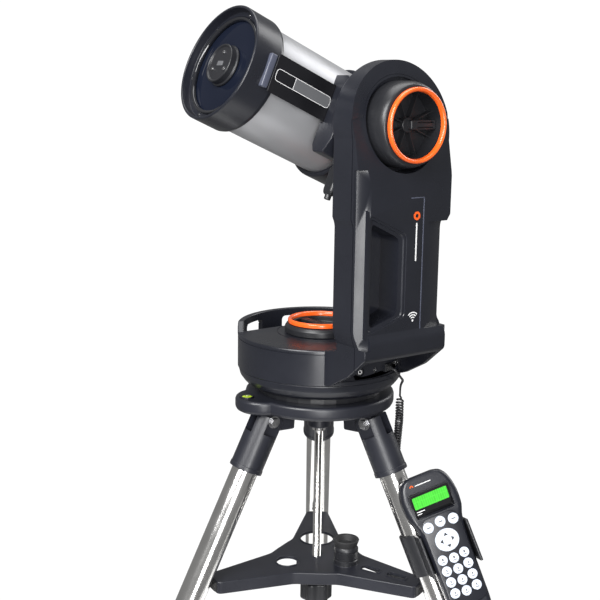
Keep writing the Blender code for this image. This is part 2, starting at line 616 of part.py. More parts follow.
def make_rear(ota):
    cell = [(73.4, -8), (78, -8), (80, -11), (80, -68), (66, -85), (22.4, -85), (22.4, -79),
            (60, -79), (71, -68), (71, -22), (73.4, -22)]
    notch = box((73.5, 90), (0, 100), (-26, 26))
    add("rear_cell", along_tube(lathe(cell, 36)), "charcoal", ota, [notch])
    baffle = [(16, -85), (22, -85), (22, -76), (19, -74), (19, -30), (17, 60), (15.5, 60), (15.5, -30)]
    add("baffle_tube", along_tube(lathe(baffle, 16)), "black", ota)
    focus = make_empty("focuser", ota, (38, 85, 32))
    stem = along_tube(disc(4, -5, 0, 12))
    add("focus_knob", along_tube(fluted(12, 1.5, 8, -23, -3, 4)), "black", focus, (), [stem])
    dish = [(19.4, -58), (63.5, -58), (63.5, -48), (45, -50.5), (19.4, -52)]
    add("primary_mirror", along_tube(lathe(dish, 28)), "mirror", ota)
    back = [(16.3, -85.3), (30, -85.3), (30, -90), (25, -93), (25, -104), (22, -106), (16.3, -106)]
    add("visual_back", along_tube(lathe(back, 20)), "black", ota)
    finder_base = box((-16, 16), (22, 56), (80.6, 84))
    finder_body = moved(prism(rounded(24, 16, 5, 3), 8, 60), turn("X", -90), shift(0, 0, 94))
    window = moved(ring(17, 14, -3, 3, 20), FORWARD, shift(0, -6, 114))
    stalk = merged(box((-6, 6), (24, 54), (83, 90)), box((-5, 5), (-8, 12), (92, 99)))
    turned = turn("Y", -48)
    add("finder", moved(finder_base, turned), "black", ota, (),
        [moved(piece, turned) for piece in (stalk, finder_body, window)])


def make_diagonal(ota):
    """Mirror diagonal that turns in the visual back, with its eyepiece standing up."""
    elbow = make_empty("diagonal_turn", ota)
    tail = along_tube(disc(16, -140, -90, 16))
    prism_box = side_prism([(128, -19), (148, -19), (168, 4), (168, 21), (128, 21)], -19, 19)
    top = moved(ring(19, 16.2, 18, 40, 16), shift(0, 148, 0))
    bore = moved(disc(16.2, 20.5, 60, 16), shift(0, 148, 0))
    add("star_diagonal", prism_box, "black", elbow, [bore], [tail, top])
    eyepiece = lathe([(0, 23), (15.9, 23), (15.9, 40.5), (19, 40.5), (19, 62), (16, 66), (20, 78),
                      (16, 78), (12, 68), (0, 67)], 16)
    add("eyepiece", moved(eyepiece, shift(0, 148, 0)), "black", elbow)


# ---- hand control ---------------------------------------------------------------
def hc_lean(down):
    """How far the face falls back above the bend."""
    return max(0.0, HC_BEND - down) * math.tan(HC_BEND_ANGLE)


def hand_control_place():
    """Hand control frame in the leg's frame: +Y up the leg, +Z out of the face."""
    normal = Vector((math.cos(HC_YAW), -math.sin(HC_YAW), 0.0))
    across = Vector((math.sin(HC_YAW), math.cos(HC_YAW), 0.0))
    basis = Matrix((across, (0, 0, 1), normal)).transposed()
    origin = Vector((LEG_OFF, 0, -HC_DOWN)) - basis @ Vector((HC_LEG_X, 0, HC_LEG_Z))
    return origin, basis.to_euler()


def make_hand_control(leg):
    """Case with a tilted window, a tray for the moulded keys and a gland for the cord."""
    case = make_empty("hand_control", leg, *hand_control_place())
    sections = []
    for down, half, thick in HC_STATIONS:
        outline = rounded(2 * half, thick, min(7.5, thick / 2 - 0.5), 3)
        sections.append([(x, HC_TOP - down, z - hc_lean(down) - thick / 2) for x, z in outline])
    display = (turn("X", math.degrees(HC_BEND_ANGLE)), shift(0, HC_TOP - 38, -hc_lean(38)))
    window = moved(prism(rounded(57, 33, 2, 2), -2, 10), *display)
    middle = (0, HC_TOP - 122)
    tray = prism(rounded(54, 129, 12, 4, middle), -2.4, 10)
    bottom = HC_TOP - HC_LENGTH
    gland = moved(disc(GLAND_R, -2, GLAND_LENGTH, 14), turn("X", 90), shift(0, bottom, GLAND_Z))
    add("hand_control_case", loft(sections), "charcoal", case, [window, tray], [gland])
    pane = moved(prism(rounded(56, 32, 1.8, 2), -2 + GAP, -0.2), *display)
    add("hand_control_screen", pane, "screen", case)
    mat = prism(rounded(53, 128, 11.5, 3, middle), -1.3, -0.2)
    keys = [prism([(1.1 * x, y) for x, y in circle(15.5, 16, (0, HC_TOP - PAD_ROW))], -0.6, 2.0)]
    for column, drop in ((-1, 0.0), (0, 2.6), (1, 0.0)):
        keys.append(prism(circle(7.4, 10, (18.5 * column, HC_TOP - KEY_ROW + drop)), -0.6, 1.6))
        for row in range(4):
            y = HC_TOP - NUMBER_ROW - 15.8 * row - 0.8 * drop
            keys.append(prism(circle(6.9, 8, (16.1 * column, y)), -0.6, 1.6))
    add("hand_control_keypad", mat, "keys", case, (), keys)


def make_holder(leg):
    """Cradle behind the hand control with a split clamp round the leg."""
    case = make_empty("cradle", leg, *hand_control_place())
    top, low = HC_TOP - CRADLE[0], HC_TOP - CRADLE[1]
    inside, outside, back = 33.0, 37.0, -30.5
    outline = [(-outside, 2), (-inside, 2), (-inside, back - GAP), (inside, back - GAP), (inside, 2),
               (outside, 2), (outside, back - 4), (-outside, back - 4)]
    cradle = moved(prism(outline, -top, -low), turn("X", 90))
    clip = prism(arc(LEG_R + 4, -70, 250, 19) + arc(LEG_R + GAP, 250, -70, 19), low, top)
    clip = moved(clip, turn("X", 90), shift(HC_LEG_X, top + low, HC_LEG_Z))
    web = box((HC_LEG_X - 6, HC_LEG_X + 16), (low, top), (HC_LEG_Z + LEG_R + 1, back - 2))
    add("hand_control_holder", cradle, "black", case, (), [clip, web])


# ---- cord of the hand control ---------------------------------------------------
def smooth_points(route, spacing):
    """Evenly spaced points on a smooth curve through a hand-made route."""
    fine = []
    ends = [2 * Vector(route[0]) - Vector(route[1])] + [Vector(p) for p in route]
    ends.append(2 * Vector(route[-1]) - Vector(route[-2]))
    for a, b, c, d in zip(ends, ends[1:], ends[2:], ends[3:]):
        for i in range(24):
            t = i / 24
            fine.append(0.5 * (2 * b + (c - a) * t + (2 * a - 5 * b + 4 * c - d) * t ** 2
                               + (3 * b - a - 3 * c + d) * t ** 3))
    fine.append(ends[-2])
    total = sum((q - p).length for p, q in zip(fine, fine[1:]))
    count = max(4, round(total / spacing))
    result, walked, goal = [fine[0]], 0.0, total / count
    for p, q in zip(fine, fine[1:]):
        step = (q - p).length
        while len(result) < count and walked + step >= goal * len(result):
            result.append(p.lerp(q, (goal * len(result) - walked) / step))
        walked += step
    return result + [fine[-1]]


def add_cord(name, route, radius, spacing, parent, resolution=2):
    curve = bpy.data.curves.new(name, "CURVE")
    curve.dimensions = "3D"
    curve.bevel_depth = radius * MM
    curve.bevel_resolution = resolution
    curve.use_fill_caps = True
    points = smooth_points(route, spacing)
    spline = curve.splines.new("POLY")
    spline.points.add(len(points) - 1)
    for target, point in zip(spline.points, points):
        target.co = (*(point * MM), 1.0)
    curve.materials.append(MATERIALS["black"])
    obj = bpy.data.objects.new(name, curve)
    bpy.context.collection.objects.link(obj)
    obj.parent = parent
    return obj


def main():
    clear_scene()
    root = make_empty("telescope", None, (AXIS_X, AXIS_Y, HEAD_HEIGHT))
    make_root(root)
    make_spreader(root)
    make_spare_eyepiece(root)
    for number, azimuth in enumerate(LEG_AZIMUTHS, 1):
        make_leg(number, azimuth, root)
    mount = make_empty("azimuth", root)
    make_base(mount)
    make_clutches(mount)
    make_arm(mount)
    make_drives(mount)
    altitude = make_empty("altitude", mount, (0, 0, ALT_HEIGHT), (-ALT_ANGLE, 0, 0))
    make_altitude(altitude)
    ota = make_empty("tube_assembly", altitude)
    make_tube(ota)
    make_rear(ota)
    make_diagonal(ota)
    leg = bpy.data.objects["leg_3"]
    make_hand_control(leg)
    make_holder(leg)
    lead = []
    for radius, azimuth, z in LEAD_ROUTE:
        lead.append((*(Vector((radius, 0)) @ Matrix.Rotation(math.radians(-azimuth), 2)), z))
    add_cord("hand_control_cord", lead, LEAD_R, 8, mount)
    add_cord("hand_control_coil", COIL_ROUTE, COIL_R, 20, leg)


main()
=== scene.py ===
"""Finished look of a short-tube telescope on its single-arm mount, tripod and hand control.

Pieces are built in millimetres in the mount's frame: origin on top of the tripod head on the azimuth
axis, +X along the altitude axis out of the arm, the tube's front towards -Y. They are placed from the
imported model's joints and boxes.
"""
import itertools
import json
import math

import bmesh
import bpy
from mathutils import Matrix, Vector

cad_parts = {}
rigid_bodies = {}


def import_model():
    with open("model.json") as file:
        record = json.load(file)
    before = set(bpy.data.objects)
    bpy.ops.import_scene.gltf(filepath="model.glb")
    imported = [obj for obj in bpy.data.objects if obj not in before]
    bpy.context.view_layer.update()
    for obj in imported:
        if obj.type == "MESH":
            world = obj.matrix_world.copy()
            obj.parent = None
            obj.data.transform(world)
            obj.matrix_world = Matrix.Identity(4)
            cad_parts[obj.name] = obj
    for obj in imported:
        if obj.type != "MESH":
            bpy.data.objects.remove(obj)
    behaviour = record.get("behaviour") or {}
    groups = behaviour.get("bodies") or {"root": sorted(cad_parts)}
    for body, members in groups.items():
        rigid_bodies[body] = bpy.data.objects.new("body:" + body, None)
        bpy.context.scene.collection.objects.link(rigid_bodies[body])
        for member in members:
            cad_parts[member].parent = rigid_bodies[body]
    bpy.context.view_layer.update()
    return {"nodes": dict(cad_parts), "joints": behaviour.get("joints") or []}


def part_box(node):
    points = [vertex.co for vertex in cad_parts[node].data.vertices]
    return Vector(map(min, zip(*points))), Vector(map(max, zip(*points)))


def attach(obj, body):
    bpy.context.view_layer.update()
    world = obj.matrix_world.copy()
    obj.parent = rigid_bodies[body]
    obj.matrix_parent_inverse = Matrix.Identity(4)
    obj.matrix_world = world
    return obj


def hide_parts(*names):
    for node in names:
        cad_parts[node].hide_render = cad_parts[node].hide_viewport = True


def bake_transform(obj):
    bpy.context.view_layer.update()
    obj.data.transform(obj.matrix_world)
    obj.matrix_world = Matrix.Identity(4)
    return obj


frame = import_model()

MM = 0.001
JOINTS = {joint["name"]: joint for joint in frame["joints"]}


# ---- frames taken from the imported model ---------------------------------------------
def joint_axis(name):
    return Vector(JOINTS[name]["axis"]).normalized()


def joint_point(name):
    return Vector(JOINTS[name]["pos_m"])


def frame_at(origin, across, back):
    """Millimetre frame with +X along across and +Y along back."""
    x, y = across.normalized(), back.normalized()
    turn = Matrix((x, y, x.cross(y))).transposed().to_4x4()
    return Matrix.Translation(origin) @ turn @ Matrix.Scale(MM, 4)


turn_point = joint_point("azimuth_turn")
ORIGIN = Vector((turn_point.x, turn_point.y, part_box("tripod_head")[1].z))
MOUNT = frame_at(ORIGIN, Vector((1, 0, 0)), Vector((0, 1, 0)))
ALT_HEIGHT = (joint_point("altitude_turn").z - ORIGIN.z) / MM
TUBE = frame_at(ORIGIN + Vector((0, 0, ALT_HEIGHT * MM)), Vector((1, 0, 0)), -joint_axis("tube_slide"))
LEGS = []
for leg_number in (1, 2, 3):
    along = joint_axis(f"leg_{leg_number}_extend")
    side = joint_axis(f"leg_{leg_number}_fold")
    LEGS.append(frame_at(joint_point(f"leg_{leg_number}_fold"), side.cross(-along), side))
LEG_AZIMUTHS = [math.degrees(math.atan2(leg.col[0].y, leg.col[0].x)) for leg in LEGS]

# ---- dimensions repeated from the part, in millimetres --------------------------------
TUBE_R = 73.0
DRUM_R, DRUM_LOW, DECK, BAND_TOP, BAND_R = 119.5, 34.3, 84.0, 96.0, 111.5
WELL_FLOOR = 57.0
ARM_IN, ARM_SPLIT, ARM_OUT = 122.0, 162.0, 178.0
RING_OUT, RING_IN, KNOB_SUNK = 47.6, 41.5, 27.5
POWER_AZIMUTH, JACK_AZIMUTH, SOCKET_AZIMUTH = -10, 2, 29
HANDLE_START, HANDLE_END, HANDLE_SLOPE = 118, 242, 11
PORT_AZIMUTH, PORT_Z, PLUG_END = 13.6, 52.0, 121.5
PIN_R, PIN_Z, LEG_OFF, LEG_R, INNER_LEG_R, LEG_END, FOOT_END = 83.0, -37.0, 3.6, 19.0, 16.0, 600.0, 680.0
SPREADER_Z = -265.0
HC_TOP, HC_LENGTH, HC_BEND, HC_BEND_ANGLE = 100.0, 207.0, 56.0, 12.0
HC_LEG_X, HC_LEG_Z, HC_DOWN = -30.0, -58.0, 190.0

hc_up, hc_normal = joint_axis("hand_control_lift"), -joint_axis("keypad_press")
hc_across = hc_up.cross(hc_normal)
hc_origin = LEGS[2] @ Vector((LEG_OFF, 0, -HC_DOWN)) - (hc_across * HC_LEG_X + hc_normal * HC_LEG_Z) * MM
HAND = frame_at(hc_origin, hc_across, hc_up)


# ---- shapes ---------------------------------------------------------------------------
def moved(bm, *matrices):
    for matrix in matrices:
        bm.transform(matrix)
    return bm


def shift(x=0.0, y=0.0, z=0.0):
    return Matrix.Translation((x, y, z))


def turn(axis, degrees):
    return Matrix.Rotation(math.radians(degrees), 4, axis)


ALONG_X = turn("Y", 90)
FORWARD = turn("X", 90)


def merged(*parts):
    whole = bmesh.new()
    for part in parts:
        mesh = bpy.data.meshes.new("part")
        part.to_mesh(mesh)
        whole.from_mesh(mesh)
        bpy.data.meshes.remove(mesh)
        part.free()
    return whole


def arc(radius, start, end, count, centre=(0.0, 0.0)):
    angles = [math.radians(start + (end - start) * i / (count - 1)) for i in range(count)]
    return [(centre[0] + radius * math.cos(a), centre[1] + radius * math.sin(a)) for a in angles]


def circle(radius, count, centre=(0.0, 0.0)):
    return arc(radius, 0, 360 - 360 / count, count, centre)


def rounded(width, height, corner, count=8, centre=(0.0, 0.0)):
    points = []
    for quarter, (sx, sy) in enumerate(((1, 1), (-1, 1), (-1, -1), (1, -1))):
        mid = (centre[0] + sx * (width / 2 - corner), centre[1] + sy * (height / 2 - corner))
        points += arc(corner, 90 * quarter, 90 * quarter + 90, count, mid)
    return points


def soft(points, radius, closed=True, count=5):
    """Round a polyline's corners."""
    result = []
    for i, point in enumerate(points):
        if not closed and i in (0, len(points) - 1):
            result.append(point)
            continue
        here = Vector(point)
        before, after = Vector(points[i - 1]) - here, Vector(points[(i + 1) % len(points)]) - here
        reach = min(radius, 0.45 * before.length, 0.45 * after.length)
        one, two = here + before.normalized() * reach, here + after.normalized() * reach
        for k in range(count):
            t = k / (count - 1)
            result.append(tuple(one * (1 - t) ** 2 + here * 2 * t * (1 - t) + two * t ** 2))
    return result


def lathe(profile, steps=96, softness=0.0):
    """Turn (radius, height) points about Z; a profile that starts off the axis is a ring."""
    closed = profile[0][0] > 0
    if softness:
        profile = soft(profile, softness, closed)
    bm = bmesh.new()
    verts = [bm.verts.new((r, 0.0, z)) for r, z in profile]
    edges = [bm.edges.new(pair) for pair in zip(verts, verts[1:])]
    if closed:
        edges.append(bm.edges.new((verts[-1], verts[0])))
    bmesh.ops.spin(bm, geom=verts + edges, cent=(0, 0, 0), axis=(0, 0, 1), dvec=(0, 0, 0),
                   angle=2 * math.pi, steps=steps, use_merge=True)
    bmesh.ops.remove_doubles(bm, verts=bm.verts, dist=1e-4)
    return bm


def disc(radius, low, high, steps=64, softness=0.0):
    return lathe([(0, low), (radius, low), (radius, high), (0, high)], steps, softness)


def ring(outer, inner, low, high, steps=96, softness=0.0):
    return lathe([(inner, low), (outer, low), (outer, high), (inner, high)], steps, softness)


def loft(sections):
    """Skin rings of equal point counts and close both ends."""
    bm = bmesh.new()
    rings = [[bm.verts.new(point) for point in section] for section in sections]
    count = len(sections[0])
    for low, high in zip(rings, rings[1:]):
        for i in range(count):
            j = (i + 1) % count
            bm.faces.new((low[i], low[j], high[j], high[i]))
    bm.faces.new(rings[0])
    bm.faces.new(rings[-1])
    return bm


def inset(outline, distance):
    """Outline moved inwards by a distance, whichever way round it is listed."""
    count = len(outline)
    area = sum(p[0] * q[1] - q[0] * p[1] for p, q in zip(outline, outline[1:] + outline[:1]))
    distance = math.copysign(1, area) * distance
    result = []
    for i in range(count):
        before, here, after = (Vector(outline[(i + k) % count]) for k in (-1, 0, 1))
        one, two = (here - before).normalized(), (after - here).normalized()
        normal = Vector((-one.y - two.y, one.x + two.x)).normalized()
        result.append(tuple(here + normal * distance / max(0.5, normal.dot(Vector((-one.y, one.x))))))
    return result


def prism(outline, low, high, edge=0.0, steps=3):
    """Extrude a flat outline along Z; edge rounds both rims, or is a pair for the low and the high one."""
    low_edge, high_edge = edge if isinstance(edge, tuple) else (edge, edge)
    sections = []
    for r, z, way in ((low_edge, low, 1), (high_edge, high, -1)):
        angles = [math.pi / 2 * i / steps for i in range(steps + 1)] if r else [math.pi / 2]
        rim = [(r * (1 - math.sin(a)), z + way * r * (1 - math.cos(a))) for a in angles]
        sections += rim[::way]
    return loft([[(x, y, z) for x, y in inset(outline, cut)] for cut, z in sections])


def box(x, y, z, edge=0.0):
    return prism([(x[0], y[0]), (x[1], y[0]), (x[1], y[1]), (x[0], y[1])], *z, edge)


def block(x, y, z, corner=2.0, edge=1.0):
    """Box with rounded upright corners and rounded rims."""
    middle = ((x[0] + x[1]) / 2, (y[0] + y[1]) / 2)
    return prism(rounded(x[1] - x[0], y[1] - y[0], corner, 5, middle), *z, edge)


def side_prism(outline, low, high, edge=0.0):
    """Extrude a (y, z) outline along X."""
    swap = Matrix(((0, 0, 1, 0), (1, 0, 0, 0), (0, 1, 0, 0), (0, 0, 0, 1)))
    return moved(prism(outline, low, high, edge), swap)


def front_prism(outline, low, high, edge=0.0):
    """Extrude an (x, z) outline along Y."""
    swap = Matrix(((1, 0, 0, 0), (0, 0, 1, 0), (0, 1, 0, 0), (0, 0, 0, 1)))
    return moved(prism(outline, low, high, edge), swap)


def sector(inner, outer, start, end, low, high, count=24):
    return prism(arc(outer, start, end, count) + arc(inner, end, start, count), low, high)


def fluted(radius, depth, lobes, low, high, edge=1.0, per_lobe=12):
    outline = []
    for i in range(lobes * per_lobe):
        angle = 2 * math.pi * i / (lobes * per_lobe)
        r = radius - depth * (0.5 - 0.5 * math.cos(lobes * angle))
        outline.append((r * math.cos(angle), r * math.sin(angle)))
    return prism(outline, low, high, edge)


def new_object(name, bm):
    bmesh.ops.recalc_face_normals(bm, faces=bm.faces)
    if bm.calc_volume(signed=True) < 0:
        bmesh.ops.reverse_faces(bm, faces=bm.faces)
    mesh = bpy.data.meshes.new(name)
    bm.to_mesh(mesh)
    bm.free()
    obj = bpy.data.objects.new(name, mesh)
    bpy.context.collection.objects.link(obj)
    return obj


def apply_modifiers(obj):
    bpy.context.view_layer.update()
    graph = bpy.context.evaluated_depsgraph_get()
    old = obj.data
    obj.data = bpy.data.meshes.new_from_object(obj.evaluated_get(graph), depsgraph=graph)
    obj.modifiers.clear()
    bpy.data.meshes.remove(old)


def carve(obj, tools):
    """Apply exact booleans, one for each run of tools with the same operation, and remove the tools."""
    for operation, group in itertools.groupby(tools, key=lambda tool: tool[0]):
        operands = bpy.data.collections.new("tools")
        bpy.context.scene.collection.children.link(operands)
        for _, bm in group:
            tool = new_object("tool", bm)
            bpy.context.collection.objects.unlink(tool)
            operands.objects.link(tool)
        boolean = obj.modifiers.new("carve", "BOOLEAN")
        boolean.operand_type, boolean.collection = "COLLECTION", operands
        boolean.operation, boolean.solver = operation, "EXACT"
        apply_modifiers(obj)
        for tool in list(operands.objects):
            bpy.data.objects.remove(tool, do_unlink=True)
        bpy.data.collections.remove(operands)


def piece(name, bm, finish, body, at=MOUNT, hides=(), joins=(), cuts=(), carves=(), smooth=35):
    """Build and carve one visible piece, give it its material and let it ride on a body.
    """
    obj = new_object(name, bm)
    carve(obj, [("UNION", tool) for tool in joins] + [("DIFFERENCE", tool) for tool in cuts] + list(carves))
    obj.data.transform(at)
    obj.data.shade_smooth()
    obj.data.set_sharp_from_angle(angle=math.radians(smooth))
    if joins or cuts or carves:
        normals = obj.modifiers.new("normals", "WEIGHTED_NORMAL")
        normals.keep_sharp = True
        apply_modifiers(obj)
    obj.data.materials.clear()
    obj.data.materials.append(FINISHES[finish])
    if hides:
        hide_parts(*hides)
    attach(obj, body)
    return obj


# ---- materials --------------------------------------------------------------------------
def node(tree, kind, inputs, output=0, **settings):
    """Add a node, set or link its inputs, and return one of its outputs."""
    made = tree.nodes.new(kind)
    for key, value in settings.items():
        setattr(made, key, value)
    for key, value in inputs.items():
        if isinstance(value, bpy.types.NodeSocket):
            tree.links.new(value, made.inputs[key])
        else:
            made.inputs[key].default_value = value
    return made.outputs[output] if made.outputs else None


def ramp(tree, factor, stops):
    """Colour ramp through (position, colour) stops."""
    made = tree.nodes.new("ShaderNodeValToRGB")
    elements = made.color_ramp.elements
    while len(elements) < len(stops):
        elements.new(0.5)
    for element, (position, colour) in zip(elements, stops):
        element.position, element.color = position, (*colour, 1.0)
    tree.links.new(factor, made.inputs["Fac"])
    return made.outputs["Color"]


def scaled(colour, factor):
    return tuple(min(1.0, channel * factor) for channel in colour)


def finish(name, colour, rough, metallic=0.0, tone=0.10, patch=18.0, grain=1500.0, relief=0.10,
           coat=0.0, frame_of=None, stretch=(1, 1, 1), glow=0.0, cells=None):
    """Material with patchy tone, a fine grain in colour and gloss, and a matching relief."""
    material = bpy.data.materials.new(name)
    material.use_nodes = True
    tree = material.node_tree
    tree.nodes.clear()
    place = node(tree, "ShaderNodeTexCoord", {}, 3)
    if frame_of:
        turned = frame_of.to_3x3().normalized().inverted().to_euler()
        place = node(tree, "ShaderNodeMapping", {"Vector": place, "Rotation": turned})
    lined = node(tree, "ShaderNodeMapping", {"Vector": place, "Scale": stretch})
    patches = node(tree, "ShaderNodeTexNoise", {"Vector": place, "Scale": patch, "Detail": 6.0})
    fine = node(tree, "ShaderNodeTexNoise", {"Vector": lined, "Scale": grain, "Detail": 3.0})
    mixed = node(tree, "ShaderNodeMath", {0: fine, 1: 0.4, 2: patches}, operation="MULTIPLY_ADD")
    base = ramp(tree, mixed, [(0.45, scaled(colour, 1 - tone)), (0.7, colour),
                              (0.95, scaled(colour, 1 + tone))])
    if cells:
        gap, size = cells
        brick = {"Vector": place, "Color1": (*colour, 1), "Color2": (*scaled(colour, 0.86), 1),
                 "Mortar": (*gap, 1), "Scale": 1.0, "Mortar Size": 0.0003, "Brick Width": size[0],
                 "Row Height": size[1]}
        base = node(tree, "ShaderNodeTexBrick", brick, offset=0.0)
    gloss = node(tree, "ShaderNodeMapRange", {"Value": mixed, "From Min": 0.45, "From Max": 0.95,
                                              "To Min": 0.85 * rough, "To Max": 1.2 * rough})
    bump = node(tree, "ShaderNodeBump", {"Height": fine, "Strength": relief, "Distance": 0.0003})
    inputs = {"Base Color": base, "Roughness": gloss, "Normal": bump, "Metallic": metallic,
              "Coat Weight": coat, "Coat Roughness": 0.08}
    if glow:
        inputs |= {"Emission Color": base, "Emission Strength": glow}
    surface = node(tree, "ShaderNodeBsdfPrincipled", inputs)
    node(tree, "ShaderNodeOutputMaterial", {"Surface": surface})
    return material


def corrector_finish():
    """Dark lens seen from outside: navy face on, with a painted reflection that makes it paler at the edges
    of the view.
    """
    material = finish("corrector", (0.004, 0.006, 0.012), 0.04, tone=0.05, patch=9.0, grain=30, relief=0.0)
    tree = material.node_tree
    shader = next(n for n in tree.nodes if n.type == "BSDF_PRINCIPLED")
    # painted reflection: the base colour turns paler as the surface turns away from the view
    rim = node(tree, "ShaderNodeLayerWeight", {"Blend": 0.35}, 1)
    tree.links.new(ramp(tree, rim, [(0.0, (0.003, 0.004, 0.009)), (1.0, (0.012, 0.016, 0.03))]),
                   shader.inputs["Base Color"])
    shader.inputs["Specular IOR Level"].default_value = 0.12
    return material


CHARCOAL = (0.011, 0.012, 0.017)
FINISHES = {
    "charcoal": finish("charcoal_plastic", CHARCOAL, 0.30, grain=1900, relief=0.07),
    # six times lighter copy of the charcoal plastic: a painted highlight, used for the arm's bead and the
    # front cell's tab
    "charcoal_painted_highlight": finish("painted_highlight_charcoal", scaled(CHARCOAL, 6.0), 0.34, grain=1900, relief=0.1),
    "casting": finish("painted_casting", (0.014, 0.015, 0.021), 0.36, tone=0.14, grain=1100, relief=0.2),
    "black": finish("black_plastic", (0.013, 0.0135, 0.016), 0.36, tone=0.16, relief=0.12),
    "gloss": finish("gloss_black", (0.010, 0.0105, 0.013), 0.12, tone=0.2, relief=0.02, coat=0.6),
    "anodised": finish("black_anodised", (0.016, 0.016, 0.019), 0.34, 0.55, frame_of=TUBE,
                       stretch=(1, 0.04, 1), relief=0.12),
    "orange": finish("orange_ring", (0.84, 0.115, 0.012), 0.26, tone=0.10, relief=0.03, coat=0.5),
    "silver": finish("silver_tube", (0.40, 0.403, 0.418), 0.36, 0.5, tone=0.05, grain=2600, relief=0.07),
    "steel": finish("polished_steel", (0.86, 0.85, 0.83), 0.16, 1.0, tone=0.06, patch=30, grain=700,
                    relief=0.02),
    "bolt": finish("bolt_steel", (0.42, 0.42, 0.43), 0.28, 1.0, tone=0.15, patch=200, relief=0.05),
    "corrector": corrector_finish(),
    "mirror": finish("mirror_coating", (0.88, 0.89, 0.9), 0.04, 1.0, tone=0.02, relief=0.0),
    "rubber": finish("black_rubber", (0.014, 0.014, 0.015), 0.68, tone=0.2, grain=900, relief=0.4),
    "cord": finish("cord_jacket", (0.020, 0.020, 0.022), 0.34, tone=0.2, grain=1200, relief=0.15),
    "keys": finish("pale_silicone", (0.60, 0.65, 0.74), 0.5, tone=0.05, grain=1600, relief=0.1),
    "ink": finish("white_print", (0.78, 0.78, 0.78), 0.5, tone=0.03, relief=0.02),
    "grey_ink": finish("grey_print", (0.10, 0.102, 0.108), 0.42, tone=0.05, relief=0.02),
    "window": finish("display_window", (0.006, 0.006, 0.007), 0.08, tone=0.2, relief=0.0, coat=1.0),
    "display": finish("green_display", (0.055, 0.47, 0.035), 0.22, relief=0.0, coat=0.7, frame_of=HAND,
                      glow=0.25, cells=((0.075, 0.56, 0.05), (0.0032, 0.00875))),
    # the level fluid has a faint emission: a painted glow, as if lit through the vial
    "level": finish("level_fluid", (0.50, 0.70, 0.03), 0.12, tone=0.12, patch=160, relief=0.0, coat=1.0,
                    glow=0.1),
    "bubble": finish("level_bubble", (0.80, 0.92, 0.42), 0.08, tone=0.05, patch=300, relief=0.0, coat=1.0),
    "battery": finish("battery_wrap", (0.04, 0.12, 0.30), 0.4, patch=60),
    "floor": finish("floor", (0.90, 0.90, 0.90), 0.75, tone=0.015, patch=0.6, grain=60, relief=0.02),
}


# ---- camera, light and floor --------------------------------------------------------------
CAMERA_EYE, CAMERA_LENS = (1217.7, -925.8, 435.5), 65.13
CAMERA_BACK, CAMERA_LIFT = (0.7925, -0.5779, 0.1947), (-0.1657, 0.1032, 0.9807)
# name, place and aim in the mount's frame in millimetres, power in watts, width and height in metres
LIGHTS = (("key", (900, -2300, 1700), (0, 0, 250), 130, (1.6, 1.6)),
          ("rim", (200, 2600, 1500), (0, 0, 250), 40, (1.2, 2.2)),
          ("front", (1900, -1250, 260), (100, -60, 200), 45, (0.6, 1.6)),
          ("top", (-300, 300, 2500), (0, 0, 250), 45, (2.0, 2.0)))
SEEN_WORLD, WORLD_LIGHT = 0.83, 0.22
FLOOR_R, FLOOR_THICK, FLOOR_EDGE = 0.52, 0.03, 0.01


def make_camera():
    """View of the arm's outer side, from the front and a little above the base."""
    eye, back, lift = MOUNT @ Vector(CAMERA_EYE), Vector(CAMERA_BACK), Vector(CAMERA_LIFT)
    data = bpy.data.cameras.new("camera")
    data.lens, data.sensor_width, data.shift_y = CAMERA_LENS, 36.0, -0.003
    data.clip_start, data.clip_end = 0.05, 100
    camera = bpy.data.objects.new("camera", data)
    right = lift.cross(back).normalized()
    camera.matrix_world = Matrix.Translation(eye) @ Matrix(
        (right, back.cross(right).normalized(), back.normalized())).transposed().to_4x4()
    bpy.context.collection.objects.link(camera)
    bpy.context.scene.camera = camera


def make_light(name, place, target, power, size):
    """Soft box at a place, aimed at a target."""
    data = bpy.data.lights.new(name, "AREA")
    data.energy, data.shape, data.size, data.size_y = power, "RECTANGLE", size[0], size[1]
    lamp = bpy.data.objects.new(name, data)
    start, end = MOUNT @ Vector(place), MOUNT @ Vector(target)
    aim = (end - start).to_track_quat("-Z", "Y")
    lamp.matrix_world = Matrix.Translation(start) @ aim.to_matrix().to_4x4()
    bpy.context.collection.objects.link(lamp)


def make_studio():
    """World brighter to the camera than to the surfaces, four soft boxes and a pale round floor."""
    world = bpy.data.worlds.new("studio")
    world.use_nodes = True
    background = world.node_tree.nodes["Background"]
    background.inputs["Color"].default_value = (1.0, 1.0, 1.0, 1.0)
    seen = node(world.node_tree, "ShaderNodeLightPath", {})
    strength = node(world.node_tree, "ShaderNodeMath", {0: seen, 1: SEEN_WORLD, 2: WORLD_LIGHT},
                    operation="MULTIPLY_ADD")
    world.node_tree.links.new(strength, background.inputs["Strength"])
    bpy.context.scene.world = world
    bpy.context.scene.view_settings.view_transform = "Standard"
    for light in LIGHTS:
        make_light(*light)
    section = [(0, 0), (FLOOR_R - FLOOR_EDGE, 0), (FLOOR_R, -FLOOR_EDGE), (FLOOR_R, -FLOOR_THICK),
               (0, -FLOOR_THICK)]
    floor = new_object("floor", lathe(section, 128))
    floor.data.materials.append(FINISHES["floor"])


